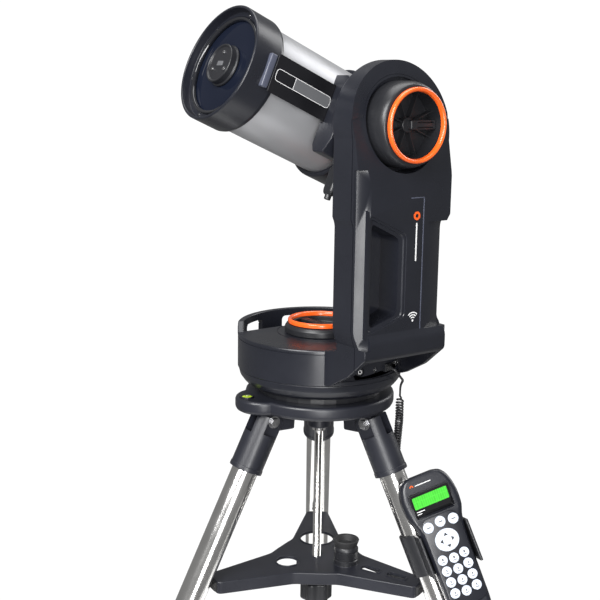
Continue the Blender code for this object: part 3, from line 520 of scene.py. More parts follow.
# ---- cord of the hand control ---------------------------------------------------------------
LEAD_ROUTE = ((122.3, 13.6, 52), (125, 13.6, 52), (128, 13.7, 51.7), (131, 14.1, 50.2), (133.4, 15, 47),
              (134.5, 16.4, 43), (134.4, 18.4, 38.8), (133.2, 21.2, 34.6), (131, 24.6, 30.6),
              (128.2, 28, 26.8), (125, 31, 22.6), (122.4, 32.9, 18), (121.2, 33.6, 13), (121, 33.68, 8.4),
              (121, 33.68, 4.3))  # radius, azimuth, height
COIL_ROUTE = ((50.04, 22.63, 21.51), (45.3, 22.63, 11.59), (40.55, 22.63, 1.67),
              (33.38, 24.37, -11.53), (24.58, 28.28, -23.95), (3.5, 32.5, -58), (-8, 31.5, -85),
              (-10, 31, -150), (-10, 31.5, -220), (-5, 35, -280), (12, 36, -328), (22, 24, -357),
              (36, 8, -371), (50, -8, -362), (59.5, -19.7, -338), (59.5, -19.7, -322),
              (59.5, -19.7, -305.6))  # in the third leg's frame
LEAD_R, WIRE_R, HELIX_R, PITCH = 1.8, 1.45, 4.7, 4.2
LEAD_STEP, STEPS_PER_TURN, UPPER_SHARE, TAPER_POINTS = 2.5, 14, 0.55, 10
COIL_STRAIGHT, COIL_FADE, LOOSE_TURNS = 2.0, 9.0, 0.25
GLAND_REACH, GLAND_DEPTH = 7.5, 9.0


def smooth_points(route, spacing):
    """Evenly spaced points on a smooth curve through a given route."""
    fine = []
    ends = [2 * route[0] - route[1], *route, 2 * route[-1] - route[-2]]
    for a, b, c, d in zip(ends, ends[1:], ends[2:], ends[3:]):
        for i in range(24):
            t = i / 24
            fine.append(0.5 * (2 * b + (c - a) * t + (2 * a - 5 * b + 4 * c - d) * t ** 2
                               + (3 * b - a - 3 * c + d) * t ** 3))
    fine.append(route[-1])
    total = line_length(fine)
    count = round(total / spacing)
    result, walked, goal = [fine[0]], 0.0, total / count
    for p, q in zip(fine, fine[1:]):
        step = (q - p).length
        while len(result) < count and walked + step >= goal * len(result):
            result.append(p.lerp(q, (goal * len(result) - walked) / step))
        walked += step
    return result + [fine[-1]]


def line_length(points):
    return sum((q - p).length for p, q in zip(points, points[1:]))


def frames_along(points):
    """(point, side, up) at each point, with as little twist as the line allows."""
    side, result = None, []
    for i, point in enumerate(points):
        ahead = (points[min(i + 1, len(points) - 1)] - points[max(i - 1, 0)]).normalized()
        side = (side - ahead * side.dot(ahead)).normalized() if side else ahead.orthogonal().normalized()
        result.append((point, side, ahead.cross(side)))
    return result


def tube_mesh(points, radius, sides=8, end_radius=None):
    """Round tube along points; the last TAPER_POINTS points run down to end_radius."""
    rings = []
    for i, (point, side, up) in enumerate(frames_along(points)):
        r = radius
        if end_radius:
            r += (end_radius - radius) * max(0.0, 1 - (len(points) - 1 - i) / TAPER_POINTS)
        rings.append([point + (side * x + up * y) * r for x, y in circle(1, sides)])
    return loft(rings)


def helix_points(line, spacing):
    """Curly cord round a line; its turns open out and shrink away towards both ends."""
    result, total, angle = [], (len(line) - 1) * spacing, 0.0
    for i, (point, side, up) in enumerate(frames_along(line)):
        walked = i * spacing
        edge = min(walked, total - walked)
        free = min(1.0, max(0.0, (edge - COIL_STRAIGHT * MM) / (COIL_FADE * MM)))
        r = HELIX_R * MM * free * free * (3 - 2 * free)
        angle += 2 * math.pi * spacing / (PITCH * MM) * (LOOSE_TURNS + (1 - LOOSE_TURNS) * free)
        result.append(point + (side * math.cos(angle) + up * math.sin(angle)) * r)
    return result


def cord_piece(name, points, radius, hides, end_radius=None):
    obj = new_object(name, tube_mesh(points, radius * MM, 8, end_radius))
    obj.data.shade_smooth()
    obj.data.materials.append(FINISHES["cord"])
    if hides:
        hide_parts(hides)
    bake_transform(obj)
    return obj


def make_cord():
    """Lead out of the plug, then a curly cord down behind the third leg to the hand control."""
    polar = [Vector((r * math.cos(math.radians(a)), r * math.sin(math.radians(a)), z)) for r, a,
             z in LEAD_ROUTE]
    lead = smooth_points([MOUNT @ point for point in polar], LEAD_STEP * MM)
    cord_piece("hand_control_lead", lead, LEAD_R, "hand_control_cord",
               WIRE_R * MM)
    spacing = PITCH * MM / STEPS_PER_TURN
    line = smooth_points([LEGS[2] @ Vector(point) for point in COIL_ROUTE], spacing)
    wound = helix_points(line, spacing)
    split = int(UPPER_SHARE * len(wound))
    cord_piece("curly_cord_upper", wound[:split + 1], WIRE_R, "hand_control_coil")
    cord_piece("curly_cord_lower", wound[split:], WIRE_R, None)
    boot = lathe([(0, 0), (4.6, 0), (4.6, 1.2), (3.5, 1.9), (3.8, 3), (2.9, 3.8), (3.2, 4.8), (2.4, 5.6),
                  (2.0, 7), (0, 7)], 32, 0.2)
    at_plug = (shift(z=PLUG_END - 1), ALONG_X, turn("Z", PORT_AZIMUTH), shift(z=PORT_Z))
    at_gland = (FORWARD, shift(0, HC_TOP - HC_LENGTH - GLAND_REACH, -GLAND_DEPTH))
    piece("plug_strain_relief", moved(boot.copy(), *at_plug), "rubber", "azimuth")
    piece("hand_control_strain_relief", moved(boot, *at_gland), "rubber", "hand_control", HAND)


make_camera()
make_studio()
make_cord()


# ---- tripod ---------------------------------------------------------------------------------
LEVEL_X = 118.0
ROD_END, THREAD_PITCH, THREAD_R, THREAD_ROOT = -345.0, 1.8, 6.5, 5.8
# across the spreader, for each leg's arm: radius of its round hole and the hole's distance from the middle
SPREADER_HOLES = ((25.5, 62), (16.2, 50), (16.2, 50))


def head_outline(grow):
    """Round plate with one lobe for the level, centred over a leg."""
    middle, lobe, plate = 92.0, 40.0 + grow, 108.0 + grow
    meet = math.degrees(math.acos((plate ** 2 + middle ** 2 - lobe ** 2) / (2 * plate * middle)))
    swing = math.degrees(math.acos((plate * math.cos(math.radians(meet)) - middle) / lobe))
    points = arc(plate, meet, 360 - meet, 121) + arc(lobe, -swing, swing, 41, (middle, 0.0))[1:-1]
    return [tuple(Matrix.Rotation(math.radians(LEG_AZIMUTHS[1]), 2) @ Vector(p)) for p in points]


def make_head():
    levels = ((-20, -7), (-19.5, -4.5), (-18, -2), (-15, -0.4), (-13, 0), (-4.5, 0), (-2, -0.8),
              (-0.5, -2.4), (0, -4.5))
    plate = loft([[(x, y, z) for x, y in head_outline(grow)] for z, grow in levels])
    parts = [lathe([(0, -58), (17, -58), (17, -10), (0, -10)], 64, 2)]
    for azimuth in LEG_AZIMUTHS:
        outline = soft([(44, -22), (46, -54), (94, -54), (97, -46), (97, -19), (44, -19)], 3)
        parts.append(moved(front_prism(outline, -9, 9, 1.5), turn("Z", azimuth)))
    level = turn("Z", LEG_AZIMUTHS[1])
    recess = moved(disc(10.5, -1.6, 5, 48), shift(LEVEL_X), level)
    piece("tripod_head_casting", plate, "casting", "tripod", hides=["tripod_head"], joins=parts,
          cuts=[recess])
    rim = merged(ring(9.6, 7.2, -1.5, 1.9, 48, 0.5), ring(3.1, 2.6, 2.05, 2.25, 32))
    piece("level_rim", moved(rim, shift(LEVEL_X), level), "black", "tripod")
    fluid = [(0, -1.4), (7.3, -1.4), (7.3, 1.1), (6.2, 1.7), (4, 2.0), (0, 2.15)]
    piece("level_vial", moved(lathe(fluid, 48), shift(LEVEL_X), level), "level", "tripod",
          hides=["bubble_level"])
    bubble = [(0, 1.9), (2.1, 2.0), (1.9, 2.3), (1.1, 2.5), (0, 2.55)]
    piece("level_bubble", moved(lathe(bubble, 32), shift(LEVEL_X + 0.6, 0.5), level), "bubble", "tripod")


def make_bolts():
    for number, azimuth in enumerate(LEG_AZIMUTHS, 1):
        place = (turn("X", 90), shift(PIN_R, 0, PIN_Z), turn("Z", azimuth))
        washers = merged(ring(9, 4.2, -16.9, -15.6, 32, 0.3), ring(9, 4.2, 15.6, 16.9, 32, 0.3))
        bolt = merged(prism(circle(7, 6), -21, -17, 0.8), disc(4, -17, 23.5, 24, 0.5),
                      prism(circle(7, 6), 17, 22, 0.8), washers)
        piece(f"hinge_bolt_{number}", moved(bolt, *place), "bolt", "tripod",
              hides=[f"leg_{number}_hinge_bolt"])


def make_rod():
    """Threaded centre rod with a plain neck and a collar under the boss."""
    thread = [(0, ROD_END), (5.6, ROD_END)]
    for i in range(int((-66 - ROD_END) / THREAD_PITCH)):
        low = ROD_END + THREAD_PITCH * i
        thread += [(THREAD_R, low + THREAD_PITCH / 2), (THREAD_ROOT, low + THREAD_PITCH)]
    thread += [(6.5, -64), (9.5, -64), (9.5, -58.3), (6.2, -58.3), (6.2, -31), (0, -31)]
    piece("threaded_rod", lathe(thread, 32), "steel", "tripod", hides=["centre_rod"])


def spreader_outline(grow):
    """Three tapering arms round a hub."""
    points = []
    for azimuth in LEG_AZIMUTHS:
        arm = [(46, -46), (58, -38), (150, -21), (171, -17), (171, 17), (150, 21), (58, 38), (46, 46)]
        arm = [(x - grow * (x > 100), y - math.copysign(grow, y)) for x, y in arm]
        points += [tuple(Matrix.Rotation(math.radians(azimuth), 2) @ Vector(p)) for p in arm]
    return points


def make_spreader():
    top, skirt = SPREADER_Z + 3, SPREADER_Z - 15
    body = prism(soft(spreader_outline(0), 7), skirt, top, (0.6, 1.6))
    hollow = prism(soft(spreader_outline(3), 5), skirt - 5, SPREADER_Z)
    hub = lathe([(0, SPREADER_Z - 33), (27, SPREADER_Z - 33), (27, top), (0, top)], 64, 1.2)
    cuts = [disc(7, SPREADER_Z - 50, top + 10, 32)]
    rims = []
    for azimuth, (hole_r, x) in zip(LEG_AZIMUTHS, SPREADER_HOLES):
        cuts.append(moved(disc(hole_r, SPREADER_Z - 5, top + 10, 64), shift(x), turn("Z", azimuth)))
        rims.append(moved(ring(hole_r + 2.4, hole_r + 0.05, SPREADER_Z, top + 1.1, 64, 0.5), shift(x),
                          turn("Z", azimuth)))
    for x in (92.0, 134.0):
        slot = prism(rounded(30, 14, 6.9, 8, (x, 0)), SPREADER_Z - 5, top + 10)
        cuts.append(moved(slot, turn("Z", LEG_AZIMUTHS[2])))
        outer, inner = rounded(34, 18, 8.8, 8, (x, 0)), rounded(30.1, 14.1, 6.95, 8, (x, 0))
        rims.append(moved(frame_prism(outer, inner, SPREADER_Z, top + 0.9), turn("Z", LEG_AZIMUTHS[2])))
    webs = []
    for azimuth in LEG_AZIMUTHS:
        webs.append(moved(box((26, 166), (-1.5, 1.5), (skirt + 1, SPREADER_Z + 1)), turn("Z", azimuth)))
    piece("spreader_casting", body, "casting", "spreader", hides=["spreader"],
          carves=[("DIFFERENCE", hollow), ("UNION", hub)] + [("UNION", web) for web in webs]
          + [("DIFFERENCE", cut) for cut in cuts])
    piece("spreader_rims", merged(*rims), "casting", "spreader")
    for number, azimuth in enumerate(LEG_AZIMUTHS, 1):
        pad = moved(block((168, 174.5), (-13, 13), (-277, -264), 1.5, 1.0), turn("Z", azimuth))
        piece(f"spreader_pad_{number}", pad, "rubber", "spreader")
    knob = fluted(24, 4, 6, SPREADER_Z - 66, SPREADER_Z - 36, 3)
    collar = disc(13, SPREADER_Z - 38, SPREADER_Z - 33.3, 48, 0.5)
    piece("spreader_hand_knob", knob, "black", "spreader_knob", hides=["spreader_knob"], joins=[collar],
          cuts=[disc(7, SPREADER_Z - 80, SPREADER_Z, 32)])


def frame_prism(outer, inner, low, high):
    """Flat ring between two outlines with equal point counts."""
    bm = bmesh.new()
    rings = [[bm.verts.new((x, y, z)) for x, y in line]
             for line, z in ((outer, low), (outer, high), (inner, high), (inner, low))]
    for a, b in zip(rings, rings[1:] + rings[:1]):
        for i in range(len(outer)):
            j = (i + 1) % len(outer)
            bm.faces.new((a[i], a[j], b[j], b[i]))
    return bm


def make_spare_eyepiece():
    """Stands with its steel barrel in the spreader's hole."""
    low = SPREADER_Z + 3.3
    place = (shift(50), turn("Z", LEG_AZIMUTHS[2]))
    barrel = [(0, low - 16), (15.8, low - 16), (15.8, low + 0.5), (0, low + 0.5)]
    piece("spare_eyepiece_barrel", moved(lathe(barrel, 64, 0.6), *place), "steel", "spare_eyepiece")
    body = [(0, low), (18, low), (18, low + 7), (16.8, low + 8), (16.8, low + 9.5), (18, low + 10.5)]
    for i in range(5):
        body += [(18, low + 11.5 + 2 * i), (17.2, low + 12 + 2 * i), (17.2, low + 13 + 2 * i)]
    body += [(18, low + 22), (18, low + 24), (16, low + 27.5), (0, low + 27.5)]
    piece("spare_eyepiece_body", moved(lathe(body, 64), *place), "black", "spare_eyepiece",
          hides=["spare_eyepiece"])
    cup = [(0, low + 27), (15.6, low + 27), (16.2, low + 28.5), (19, low + 37), (18.4, low + 38),
           (15.2, low + 37.4), (11, low + 30), (0, low + 29)]
    piece("spare_eyepiece_cup", moved(lathe(cup, 64), *place), "rubber", "spare_eyepiece")


def make_leg(index):
    name, at, along = f"leg_{index + 1}", LEGS[index], shift(LEG_OFF)
    sleeve = moved(lathe([(0, -78), (23.5, -78), (23.5, 5), (0, 5)], 64, 1.5), along)
    ear = front_prism(rounded(30, 44, 9, 8, (1, -12)), -15.2, 15.2, 1.2)
    rib = moved(lathe([(0, -78.6), (24.3, -78.6), (24.3, -72), (0, -72)], 64, 1.0), along)
    cuts = [box((-60, 60), (-9.3, 9.3), (-24, 40)), moved(disc(4.3, -40, 40, 32), turn("X", 90)),
            moved(disc(LEG_R + 0.2, -90, -30, 64), along),
            box((-60, 12), (15.5, 40), (-21, 40)), box((-60, 12), (-40, -15.5), (-21, 40))]
    piece(f"{name}_hinge_casting", sleeve, "casting", name, at, [f"{name}_hinge_sleeve"], [ear, rib], cuts)
    piece(f"{name}_outer_tube", moved(ring(LEG_R, LEG_R - 1.5, -LEG_END + 1, -31, 96, 0.4), along), "steel",
          name, at, [f"{name}_tube"])
    low, high = -LEG_END - 8, -LEG_END + 30
    collar = [(16.3, low), (25, low), (25, high), (LEG_R + 0.1, high), (LEG_R + 0.1, -LEG_END),
              (16.3, -LEG_END)]
    piece(f"{name}_collar", moved(lathe(collar, 64, 1.5), along), "casting", name, at)
    across = (ALONG_X, shift(LEG_OFF, 0, -LEG_END + 11))
    stem = moved(disc(5, 25.3, 36, 32), *across)
    piece(f"{name}_lock_grip", moved(fluted(14, 2.5, 5, 34, 50, 2), *across), "black", f"{name}_lock_knob",
          at, [f"{name}_lock_knob"], [stem])
    inner = ring(INNER_LEG_R, INNER_LEG_R - 2, -FOOT_END + 24, -120, 64, 0.4)
    piece(f"{name}_inner_tube", moved(inner, along), "steel", f"{name}_extension", at, [f"{name}_extension"])
    low = -FOOT_END - 30
    foot = [(0, low), (20, low), (20, low + 14), (18.4, low + 15.5), (18.4, low + 21), (20, low + 22.5),
            (20, -FOOT_END + 20), (18, -FOOT_END + 23.7), (0, -FOOT_END + 23.7)]
    under = moved(box((-1, 1), (-1, 1), (-0.5, 0)), at.inverted())
    piece(f"{name}_rubber_foot", moved(lathe(foot, 64, 0.5), along), "rubber", f"{name}_extension", at,
          [f"{name}_foot"], cuts=[under])


def make_tripod():
    make_head()
    make_bolts()
    make_rod()
    make_spreader()
    make_spare_eyepiece()
    for index in range(3):
        make_leg(index)


# ---- rotating base --------------------------------------------------------------------------
def port(azimuth, bm):
    """Place a shape built along +Z so that it points out of the drum at the port height."""
    return moved(bm, ALONG_X, turn("Z", azimuth), shift(0, 0, PORT_Z))


def wall_window(start, end, low, high, inner, outer, corner):
    """Rounded window through a round wall, between two azimuths and two heights."""
    width, middle = math.radians(end - start) * DRUM_R, math.radians(start + end) / 2 * DRUM_R
    outline = rounded(width, high - low, corner, 6, (middle, (low + high) / 2))
    fine = []
    for p, q in zip(outline, outline[1:] + outline[:1]):
        steps = max(1, int((Vector(q) - Vector(p)).length / 4))
        fine += [tuple(Vector(p).lerp(Vector(q), k / steps)) for k in range(steps)]
    return loft([[(r * math.cos(x / DRUM_R), r * math.sin(x / DRUM_R), z) for x, z in fine]
                 for r in (inner, outer)])


def handle_band():
    """Carrying rim round the back of the well, with sloping ends."""
    rings = []
    for azimuth in range(HANDLE_START, HANDLE_END + 1):
        away = min(1.0, min(azimuth - HANDLE_START, HANDLE_END - azimuth) / HANDLE_SLOPE)
        top = DECK - 1 + (BAND_TOP - DECK + 1) * away
        outline = soft([(BAND_R, 79.3), (DRUM_R + 0.3, 79.3), (DRUM_R + 0.3, top), (BAND_R, top)], 1.6,
                       True, 4)
        a = math.radians(azimuth)
        rings.append([(r * math.cos(a), r * math.sin(a), z) for r, z in outline])
    return loft(rings)


def make_base():
    bowl = [(26, 8.2), (92, 8.2), (101, 10.5), (110, 16), (116, 24), (118.6, 34), (114.5, 34), (112, 25.5),
            (107, 18.5), (99, 14), (91, 11.5), (26, 11.5)]
    piece("base_bowl", lathe(bowl, 144, 2), "charcoal", "azimuth", hides=["base_lower_housing"])
    low = DRUM_LOW
    wall = [(0, low), (DRUM_R - 0.8, low), (DRUM_R, low + 0.8), (DRUM_R, 77.8), (DRUM_R - 1, 78.2),
            (DRUM_R - 1, 79.0), (DRUM_R, 79.4), (DRUM_R, DECK - 2.2), (DRUM_R - 0.7, DECK - 0.7),
            (DRUM_R - 2.2, DECK), (0, DECK)]
    well = prism(arc(BAND_R, 121.35, 238.65, 90), WELL_FLOOR, 130)
    inside = prism(arc(115.5, -118, 118, 90), low - 5, DECK - 4)
    under = prism(arc(115.5, 123, 237, 70), low - 5, WELL_FLOOR - 4)
    cuts = [well, inside, under, wall_window(195, 219, 61, 85, 100, 130, 6),
            wall_window(151, 175, 61, 85, 100, 130, 6), wall_window(-24, 38, 40, 66, DRUM_R - 2, 130, 3),
            ring(63.5, 62.3, DECK - 0.8, 90, 96)]
    cuts += [port(azimuth, disc(radius, 108, 125, 40)) for azimuth, radius in
             ((POWER_AZIMUTH, 6), (JACK_AZIMUTH, 4), (SOCKET_AZIMUTH, 5))]
    cuts.append(port(PORT_AZIMUTH, box((-5.8, 5.8), (-6.3, 6.3), (105, 125))))
    carves = [("UNION", handle_band())] + [("DIFFERENCE", cut) for cut in cuts]
    piece("base_drum", lathe(wall, 144), "charcoal", "azimuth", hides=["base_upper_housing"], carves=carves)
    liners = merged(port(JACK_AZIMUTH, ring(3.9, 2.9, 110, 117.3, 32, 0.3)),
                    port(JACK_AZIMUTH, disc(1, 110, 116, 16, 0.3)),
                    port(SOCKET_AZIMUTH, ring(4.9, 3.4, 110, 117.6, 32, 0.3)))
    piece("socket_liners", liners, "bolt", "azimuth")
    floors = merged(port(JACK_AZIMUTH, disc(4.6, 108, 110.5, 32)),
                    port(SOCKET_AZIMUTH, disc(5.6, 108, 110.5, 32)),
                    port(POWER_AZIMUTH, disc(6.6, 105, 107.4, 32)))
    piece("socket_floors", floors, "black", "azimuth")
    piece("power_push_button", port(POWER_AZIMUTH, disc(5.5, 109.2, 118.5, 48, 0.8)), "black", "power_button",
          hides=["power_button"])
    mark = merged(moved(sector(2.2, 3.0, 120, 420, 118.4, 118.65), turn("Z", 90)),
                  box((-3.4, -0.6), (-0.4, 0.4), (118.4, 118.65)))
    piece("power_mark", port(POWER_AZIMUTH, mark), "ink", "power_button")
    plug = box((-5.5, 5.5), (-6, 6), (110, PLUG_END), 0.8)
    piece("cord_plug", port(PORT_AZIMUTH, plug), "black", "azimuth", hides=["hand_control_plug"])


def knob_ribs(inner, outer, low, high, count, start=0.0):
    ribs = [moved(box((inner, outer), (-0.6, 0.6), (low, high)), turn("Z", start + 360 / count * i))
            for i in range(count)]
    return merged(*ribs)


def orange_ring(height):
    profile = [(RING_IN, height - 2.7), (RING_OUT, height - 2.7), (RING_OUT, height + 2.3),
               (RING_OUT - 2.2, height + 4.3), (RING_IN + 1, height + 2.5)]
    return lathe(profile, 128, 1.2)


def make_clutches():
    """Azimuth clutch on the deck and altitude clutch in the arm's outer face."""
    lift = shift(z=DECK + 0.3)
    cup = lathe([(0, 0), (52, 0), (52, 8), (RING_OUT + 1.5, 12.5), (RING_IN, 13), (RING_IN, 5), (0, 5)],
                128, 1.2)
    bar = prism(rounded(2 * RING_IN + 2, 12, 2, 6), 3, 12, (0, 1.6))
    groove = merged(*[box((-30, 30), (y - 1, y + 1), (9.5, 14)) for y in (-2.6, 2.6)])
    hub = disc(9, 3, 11.5, 48, 1.5)
    piece("azimuth_knob_cup", moved(cup, lift), "black", "azimuth_clutch", hides=["azimuth_clutch_knob"],
          joins=[moved(bar, lift), moved(hub, lift)], cuts=[moved(groove, lift)])
    ribs = knob_ribs(8, RING_IN + 0.5, 4, 8, 6, 30)
    piece("azimuth_knob_ribs", moved(ribs, lift), "black", "azimuth_clutch")
    piece("azimuth_knob_ring", moved(orange_ring(16.0), lift), "orange", "azimuth_clutch",
          hides=["azimuth_clutch_ring"])

    place = (ALONG_X, shift(ARM_OUT - KNOB_SUNK, 0, ALT_HEIGHT))
    shoulder = [(48.6 + 6.4 * math.cos(math.radians(a)), 22 + 16.5 * math.sin(math.radians(a)))
                for a in range(0, 91, 9)]
    cup = lathe([(0, 0), (53.5, 0), (55, 1.5), *shoulder, (RING_IN, 39), (RING_IN, 14), (0, 14)], 128)
    bar = prism(rounded(13, RING_IN + 1, 3, 6, (0, RING_IN / 2)), 10, 31, (0, 2.2))
    slots = merged(*[box((x - 0.9, x + 0.9), (10, RING_IN - 4), (26, 34)) for x in (-3.2, 3.2)])
    hub = disc(10, 10, 25, 48, 2.5)
    piece("altitude_knob_cup", moved(cup, *place), "black", "altitude_clutch",
          hides=["altitude_clutch_knob"], joins=[moved(bar, *place), moved(hub, *place)],
          cuts=[moved(slots, *place)])
    piece("altitude_knob_ribs", moved(knob_ribs(9, RING_IN + 0.5, 13, 23, 8, 22.5), *place), "black",
          "altitude_clutch")
    piece("altitude_knob_ring", moved(orange_ring(42.0), *place), "orange", "altitude_clutch",
          hides=["altitude_clutch_ring"])


make_tripod()
make_base()
make_clutches()


# ---- arm ------------------------------------------------------------------------------------
HEAD_R, ARM_WALL, FOOT_Y = 81.0, 4.0, (-68.0, 72.0)
POCKET = ((-55, 127), (-9, 141), (-9, 241), (-55, 263))
POCKET_STEP = ((-62, 119), (2, 137), (2, 246), (-62, 275))
POCKET_FLOOR = 138.0
FOOT_OUTLINE = [(98, 35), (109, 37), (149, 59), (183, 88), (183, 108), (177, 122), (123, 122), (123, 90),
                (98, 84.6)]
FOOT_HOLLOW = [(90, 20), (112, 24), (152, 45), (176, 74), (176, 99), (130, 99), (118, 82), (90, 82)]


def arm_outline(grow=0.0):
    """Side view of the arm: (y, z) from the rear foot up over the head and down the front."""
    rear = [(72, 100), (76, 106), (76, 120), (70, 128), (70, 256), (78, 268)]
    top = arc(HEAD_R, -15, 193, 97, (0.0, ALT_HEIGHT))
    front = [(-79, 268), (-75, 258), (-75, 120), (-70, 104), (-68, 100)]
    if grow:
        return inset(rear + top[::4] + front, -grow)
    return soft(rear, 7, False) + top + soft(front, 7, False)


def lean(offset):
    """Wedge that shaves the head's outer face."""
    x = ARM_OUT - offset
    return front_prism([(x, 312), (x - 30, 470), (x - 30, 520), (260, 520), (260, 312)], -120, 120)


def arm_edges(offset):
    """Wedges for the outer shell's long edges: the front one all the way, the rear one as a panel."""
    x, y = ARM_OUT - 1.2 * offset, 59
    front = prism([(x - 11, -y - 31), (x - 11, -y - 16), (x, -y), (200, -y), (200, -y - 31)],
                  100 - offset, 330 + offset)
    rear = prism([(x + 0.2, 36), (200, 36), (200, 90), (x - 12, 90), (x - 12, 70)],
                 118 - offset, 260 + offset)
    return [front, rear]


def at_axis(bm):
    """Shape built along +Z, turned to point out along the altitude axis."""
    return moved(bm, ALONG_X, shift(z=ALT_HEIGHT))


def between(first, second, share):
    """Outline part of the way from one to another with the same corners."""
    return [tuple(Vector(p).lerp(Vector(q), share)) for p, q in zip(first, second)]


def pocket_mouth():
    """Tapered pocket whose mouth steps out to a sloping lip along its top, rear and bottom."""
    sections = [(POCKET_FLOOR, 0.0), (ARM_OUT - 3.6, 0.0), (ARM_OUT - 2.8, 0.5), (ARM_OUT - 1.2, 0.62),
                (ARM_OUT - 1.0, 0.92), (ARM_OUT + 0.6, 1.0), (ARM_OUT + 20, 1.0)]
    return loft([[(x, y, z) for y, z in soft(between(POCKET, POCKET_STEP, share), 7)]
                 for x, share in sections])


def carved(bm, tools):
    """The same shape after exact booleans."""
    obj = new_object("carved", bm)
    carve(obj, tools)
    result = bmesh.new()
    result.from_mesh(obj.data)
    bpy.data.objects.remove(obj)
    return result


def foot_hollow():
    return front_prism(FOOT_HOLLOW, FOOT_Y[0] + 9, FOOT_Y[1] - 9)


def make_arm():
    """Two half shells with a grip pocket, a sunk seat for the clutch knob and a hollow foot."""
    tall, gap = (-120, 120), 0.5
    inner = side_prism(arm_outline(), ARM_IN, ARM_SPLIT + 3, (3, 0))
    foot = front_prism(soft(FOOT_OUTLINE, 4), *FOOT_Y, 1.6)
    hollow = carved(side_prism(arm_outline(-ARM_WALL), ARM_IN + ARM_WALL, ARM_SPLIT + 5),
                    [("DIFFERENCE", lean(ARM_WALL))])
    hollow = [hollow, lean(0), foot_hollow(), disc(DRUM_R + 0.35, -10, DECK + 1.5, 144),
              box((ARM_SPLIT - gap, 260), tall, (0, 600)),
              at_axis(disc(20, 100, 140, 64)), at_axis(disc(63.4, ARM_OUT - 31.4, 220, 128))]
    piece("arm_inner_half", inner, "charcoal", "azimuth", hides=["arm_inner_shell"], joins=[foot],
          cuts=hollow)

    outer = side_prism(arm_outline(), ARM_SPLIT - 3, ARM_OUT, (0, 2.5))
    head = lathe([(0, ARM_SPLIT + gap), (75, ARM_SPLIT + gap), (75, ARM_OUT - 0.4), (0, ARM_OUT - 0.4)],
                 144, 3)
    foot = front_prism(soft(FOOT_OUTLINE, 4), *FOOT_Y, 1.6)
    well = side_prism(inset(POCKET, -4), POCKET_FLOOR - 3, ARM_OUT - 1)
    lip = side_prism(inset(POCKET_STEP, -3), ARM_OUT - 8, ARM_OUT - 1)
    hollow = carved(side_prism(arm_outline(-ARM_WALL), ARM_SPLIT - 5, ARM_OUT - ARM_WALL),
                    [("DIFFERENCE", tool) for tool in (lean(ARM_WALL), *arm_edges(ARM_WALL))])
    seat = at_axis(disc(63, ARM_OUT - 31, ARM_OUT - 1, 128))
    sink = at_axis(lathe([(0, ARM_OUT - 28), (60, ARM_OUT - 28), (60, ARM_OUT - 9), (62.5, ARM_OUT + 3),
                          (62.5, 230), (0, 230)], 144))
    shaft = at_axis(disc(12, 130, 170, 48))
    carves = [("UNION", foot), ("DIFFERENCE", foot_hollow()),
              ("DIFFERENCE", box((50, ARM_SPLIT + gap + 0.3), tall, (0, 600)))]
    carves += [("DIFFERENCE", tool) for tool in arm_edges(0)]
    carves += [("UNION", at_axis(head)), ("DIFFERENCE", hollow)]
    carves += [("UNION", tool) for tool in (well, lip, seat)]
    carves += [("DIFFERENCE", tool) for tool in (lean(0), pocket_mouth(), sink, shaft)]
    piece("arm_outer_half", outer, "charcoal", "azimuth", hides=["arm_outer_shell"], carves=carves)
    make_arm_trim()


def outer_face(bm):
    """Flat shape drawn in (y, z) and built along +Z, laid on the arm's outer face."""
    return moved(bm, Matrix(((0, 0, 1, ARM_OUT), (1, 0, 0, 0), (0, 1, 0, 0), (0, 0, 0, 1))))


def make_arm_trim():
    # thin raised line on the outer face in the lighter charcoal copy: a painted highlight for the lit edge of
    # a groove
    bead = merged(prism(rounded(1.6, 181, 0.7, 4, (29.2, 201.7)), -0.3, 0.35, (0, 0.2)),
                  prism(rounded(23, 1.4, 0.6, 4, (18, 292.4)), -0.3, 0.35, (0, 0.2)))
    piece("arm_bead", outer_face(bead), "charcoal_painted_highlight", "azimuth")
    waves = [sector(r, r + 1.5, 45, 135, -0.2, 0.12, 16) for r in (3.6, 6.8, 10.0)]
    waves = moved(merged(disc(1.5, -0.2, 0.12, 24), *waves), shift(15.8, 131))
    piece("wireless_mark", outer_face(waves), "ink", "azimuth")
    dot = moved(ring(5.6, 2.6, -0.2, 0.12, 48), shift(17.5, 269))
    piece("arm_dot_mark", outer_face(dot), "orange", "azimuth")
    bar = prism(rounded(2.2, 50, 1.0, 4, (17.5, 235)), -0.2, 0.12)
    piece("arm_line_mark", outer_face(bar), "ink", "azimuth")


# ---- altitude body and optical tube ---------------------------------------------------------
EYEPIECE_Y = 148.0


def along_tube(bm, *places):
    """Shapes built along +Z end up along the tube, front towards -Y."""
    return moved(bm, FORWARD, *places)


def round_about(bm_of, count, radius, start=0.0):
    """Copies of a small shape on a circle."""
    parts = []
    for i in range(count):
        parts.append(moved(bm_of(), shift(radius), turn("Z", start + 360 / count * i)))
    return merged(*parts)


def screw(radius, low, high):
    """Pan head with a hexagonal socket."""
    head = lathe([(0, low), (radius, low), (radius, high), (0, high)], 24, 0.4)
    return merged(head, prism(circle(radius * 0.45, 6), high - 0.02, high + 0.03))


def make_saddle():
    outline = [(78, 40), (78, 25.8), (85.3, 25.8), (85.3, -25.8), (78, -25.8), (78, -56), (84, -66),
               (104, -66), (114, -46), (114, 30), (104, 40)]
    piece("saddle_casting", front_prism(soft(outline, 2), -62, 60, 1.2), "charcoal", "altitude", TUBE,
          ["saddle"])
    levels = ((-44, 0.55), (-43, 0.72), (-40.5, 0.86), (-37, 0.92), (-14, 1.0), (-8, 0.95), (-4, 0.7))
    body = loft([[(x * k, y * k, z) for x, y in rounded(22, 13, 5, 8)] for z, k in levels])
    ends = merged(disc(4, -6, 0, 32), disc(4.5, -50, -42, 32, 1))
    piece("saddle_grip", moved(merged(body, ends), shift(93, -20, -66.3)), "black", "saddle_knob", TUBE,
          ["saddle_knob"])


